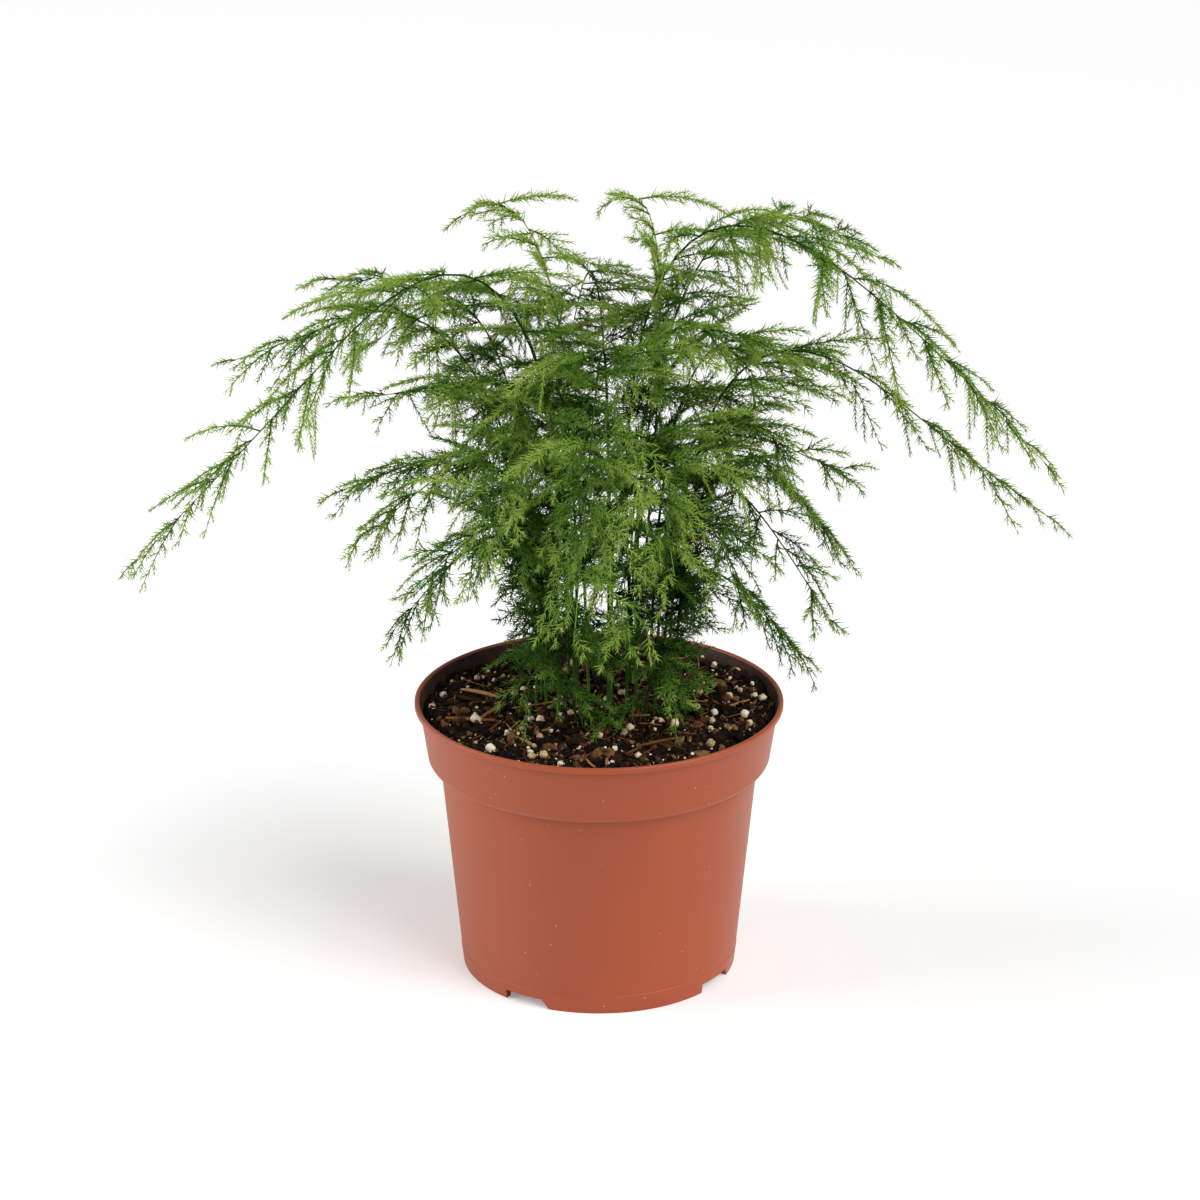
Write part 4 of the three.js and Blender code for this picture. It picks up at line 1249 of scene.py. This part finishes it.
class FERN_OT_soil(bpy.types.Operator):
    """Builds the potting soil with its crumbs, fibres and perlite grains"""

    bl_idname = "fern.soil"
    bl_label = "Soil"

    def execute(self, context):
        settings = context.scene.fern_soil
        draw = draws_from(SOIL_SEED)
        peat = crumb_material("peat", PEAT_COLOURS, 1.6, 1.9, 0.95, 0.4)
        mesh = soil_bed()
        mesh.attributes.new("tone", "FLOAT", "POINT")
        mesh.attributes["tone"].data.foreach_set("value", [SOIL_TONE] * len(mesh.vertices))
        finish_piece("soil_bed", mesh, [peat], ["soil"])

        rough = [lump_pattern(draw, 2, 1.1, 0.7, mix(1, 1.9, draw())) for _ in range(10)]
        plain = [lump_pattern(draw, 1, 1.0, 0.7, mix(1, 2.2, draw())) for _ in range(10)]
        bm = new_shape()
        scatter(bm, settings.crumbs // 5, rough, draw, LUMP_SIZES, 0.25, (0.0, 1.0), spread=54.5)
        scatter(bm, settings.crumbs, plain, draw, CRUMB_SIZES, 0.45, (0.0, 1.0), spread=56)
        crumb = crumb_material("peat_crumb", CRUMB_COLOURS, 1.2, 0.7, 0.92, 0.4)
        finish_piece("peat_crumbs", to_mesh(bm, "peat_crumbs"), [crumb])

        fibre_kinds = [strip_pattern(draw, mix(0.012, 0.05, draw())) for _ in range(10)]
        bm = new_shape()
        lying = {"spread": 51, "tilt": 0.3}
        scatter(bm, settings.fibres, fibre_kinds, draw, FIBRE_LENGTHS, 0.03, (0.0, 1.0), **lying)
        bark = crumb_material("bark_fibre", BARK_COLOURS, 4.0, 0.3, 0.85, 0.6)
        finish_piece("bark_fibres", to_mesh(bm, "bark_fibres"), [bark])

        grains = [lump_pattern(draw, 2, 0.4, 0.9) for _ in range(7)]
        specks = [lump_pattern(draw, 1, 0.5, 0.85) for _ in range(5)]
        bm = new_shape()
        scatter(bm, settings.grains, grains, draw, GRAIN_SIZES, 0.7, (0.1, 0.9), spread=54.5)
        scatter(bm, 3 * settings.grains, specks, draw, SPECK_SIZES, 0.9, (0.2, 0.9), spread=55.5)
        perlite = crumb_material("perlite", PERLITE_COLOURS, 0.7, 0.8, 0.8, 0.35)
        finish_piece("perlite_grains", to_mesh(bm, "perlite_grains"), [perlite])
        return {"FINISHED"}


class FERN_OT_fronds(bpy.types.Operator):
    """Builds every leafy stem of the clump"""

    bl_idname = "fern.fronds"
    bl_label = "Leafy stems"

    def execute(self, context):
        settings = context.scene.fern_foliage
        draw = draws_from(5)
        needles = []
        for share in NEEDLE_SHARES:
            length = settings.needle_length / MM * share
            needles.append(Pattern(needle_mesh(length, settings.needle_radius / MM), length))
        twigs = {
            length: [twig_pattern(length, draw, needles, settings) for _ in range(TWIG_KINDS)]
            for length in TWIG_LENGTHS
        }
        stem_skin = green_material("stem_skin", STEM_COLOURS, 0.5, 9)
        cladode = green_material("cladode", NEEDLE_COLOURS, 0.6, 5)
        for row in FRONDS:
            frond_piece(row, needles, twigs, [stem_skin, cladode], settings)
        return {"FINISHED"}


class FERN_OT_stage(bpy.types.Operator):
    """Sets up the pale floor, the soft lights and the camera"""

    bl_idname = "fern.stage"
    bl_label = "Stage"

    def execute(self, context):
        settings = context.scene.fern_stage
        scene = context.scene
        bm = bmesh.new()
        bmesh.ops.create_grid(bm, x_segments=1, y_segments=1, size=FLOOR_HALF)
        floor = bpy.data.objects.new("floor", to_mesh(bm, "floor"))
        scene.collection.objects.link(floor)
        material, tree, _ = new_material("floor_paint")
        seen = add(tree, "ShaderNodeLightPath").outputs["Is Camera Ray"]
        glow = add(tree, "ShaderNodeMath", {0: seen, 1: settings.floor_glow}, operation="MULTIPLY")
        surface(
            tree,
            {
                "Base Color": (*settings.floor_colour, 1),
                "Roughness": 0.9,
                "Emission Color": (1, 1, 1, 1),
                "Emission Strength": glow.outputs["Value"],
            },
        )
        floor.data.materials.append(material)

        world = bpy.data.worlds.new("studio")
        scene.world = world
        world.use_nodes = True
        world.node_tree.nodes.clear()
        sky = add(
            world.node_tree,
            "ShaderNodeBackground",
            {"Color": (1, 1, 1, 1), "Strength": settings.sky_strength},
        )
        add(world.node_tree, "ShaderNodeOutputWorld", {"Surface": sky.outputs["Background"]})

        key = self.light("SUN", "key", KEY_PLACE, settings.key_strength)
        key.angle = math.radians(KEY_ANGLE)
        fill = self.light("AREA", "fill", FILL_PLACE, settings.fill_power)
        fill.size = FILL_SIZE
        self.camera(scene)
        scene.view_settings.view_transform = "Standard"
        return {"FINISHED"}

    def light(self, kind, name, spot, power):
        """A lamp that shines on the middle of the plant; gives back its data."""
        data = bpy.data.lights.new(name, kind)
        data.energy = power
        lamp = bpy.data.objects.new(name, data)
        lamp.location = spot
        lamp.rotation_mode = "QUATERNION"
        lamp.rotation_quaternion = (Vector(LIGHT_AIM) - Vector(spot)).to_track_quat("-Z", "Y")
        bpy.context.scene.collection.objects.link(lamp)
        return data

    def camera(self, scene):
        """The photograph's view: 1.3 m away, looking down at 20.56 degrees, through a 121 mm lens."""
        elevation = math.radians(CAMERA_ELEVATION)
        back = Vector((0, -math.cos(elevation), math.sin(elevation)))
        data = bpy.data.cameras.new("camera")
        data.lens = CAMERA_LENS
        data.sensor_width = 36
        camera = bpy.data.objects.new("camera", data)
        camera.location = Vector(CAMERA_AIM) + back * CAMERA_DISTANCE
        camera.rotation_mode = "QUATERNION"
        camera.rotation_quaternion = (-back).to_track_quat("-Z", "Y")
        scene.collection.objects.link(camera)
        scene.camera = camera


class FERN_PT_panel(bpy.types.Panel):
    """Lists the pieces of the potted asparagus fern"""

    bl_idname = "FERN_PT_panel"
    bl_label = "Potted asparagus fern"
    bl_space_type = "VIEW_3D"
    bl_region_type = "UI"
    bl_category = "Fern"

    def draw(self, context):
        layout = self.layout
        for operator, settings in PARTS:
            layout.operator(operator.bl_idname)
            group = getattr(context.scene, settings)
            for name in group.bl_rna.properties.keys():
                if name not in {"rna_type", "name"}:
                    layout.prop(group, name)


PARTS = (
    (FERN_OT_stage, "fern_stage"),
    (FERN_OT_pot, "fern_pot"),
    (FERN_OT_soil, "fern_soil"),
    (FERN_OT_fronds, "fern_foliage"),
)
GROUPS = {
    "fern_pot": PotSettings,
    "fern_soil": SoilSettings,
    "fern_foliage": FoliageSettings,
    "fern_stage": StageSettings,
}
CLASSES = (*GROUPS.values(), *(operator for operator, _ in PARTS), FERN_PT_panel)


def register():
    for kind in CLASSES:
        bpy.utils.register_class(kind)
    for name, kind in GROUPS.items():
        setattr(bpy.types.Scene, name, bpy.props.PointerProperty(type=kind))


def unregister():
    for name in GROUPS:
        delattr(bpy.types.Scene, name)
    for kind in reversed(CLASSES):
        bpy.utils.unregister_class(kind)


def main():
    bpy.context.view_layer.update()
    register()
    bpy.ops.fern.stage()
    bpy.ops.fern.pot()
    bpy.ops.fern.soil()
    bpy.ops.fern.fronds()


if __name__ == "__main__":
    main()
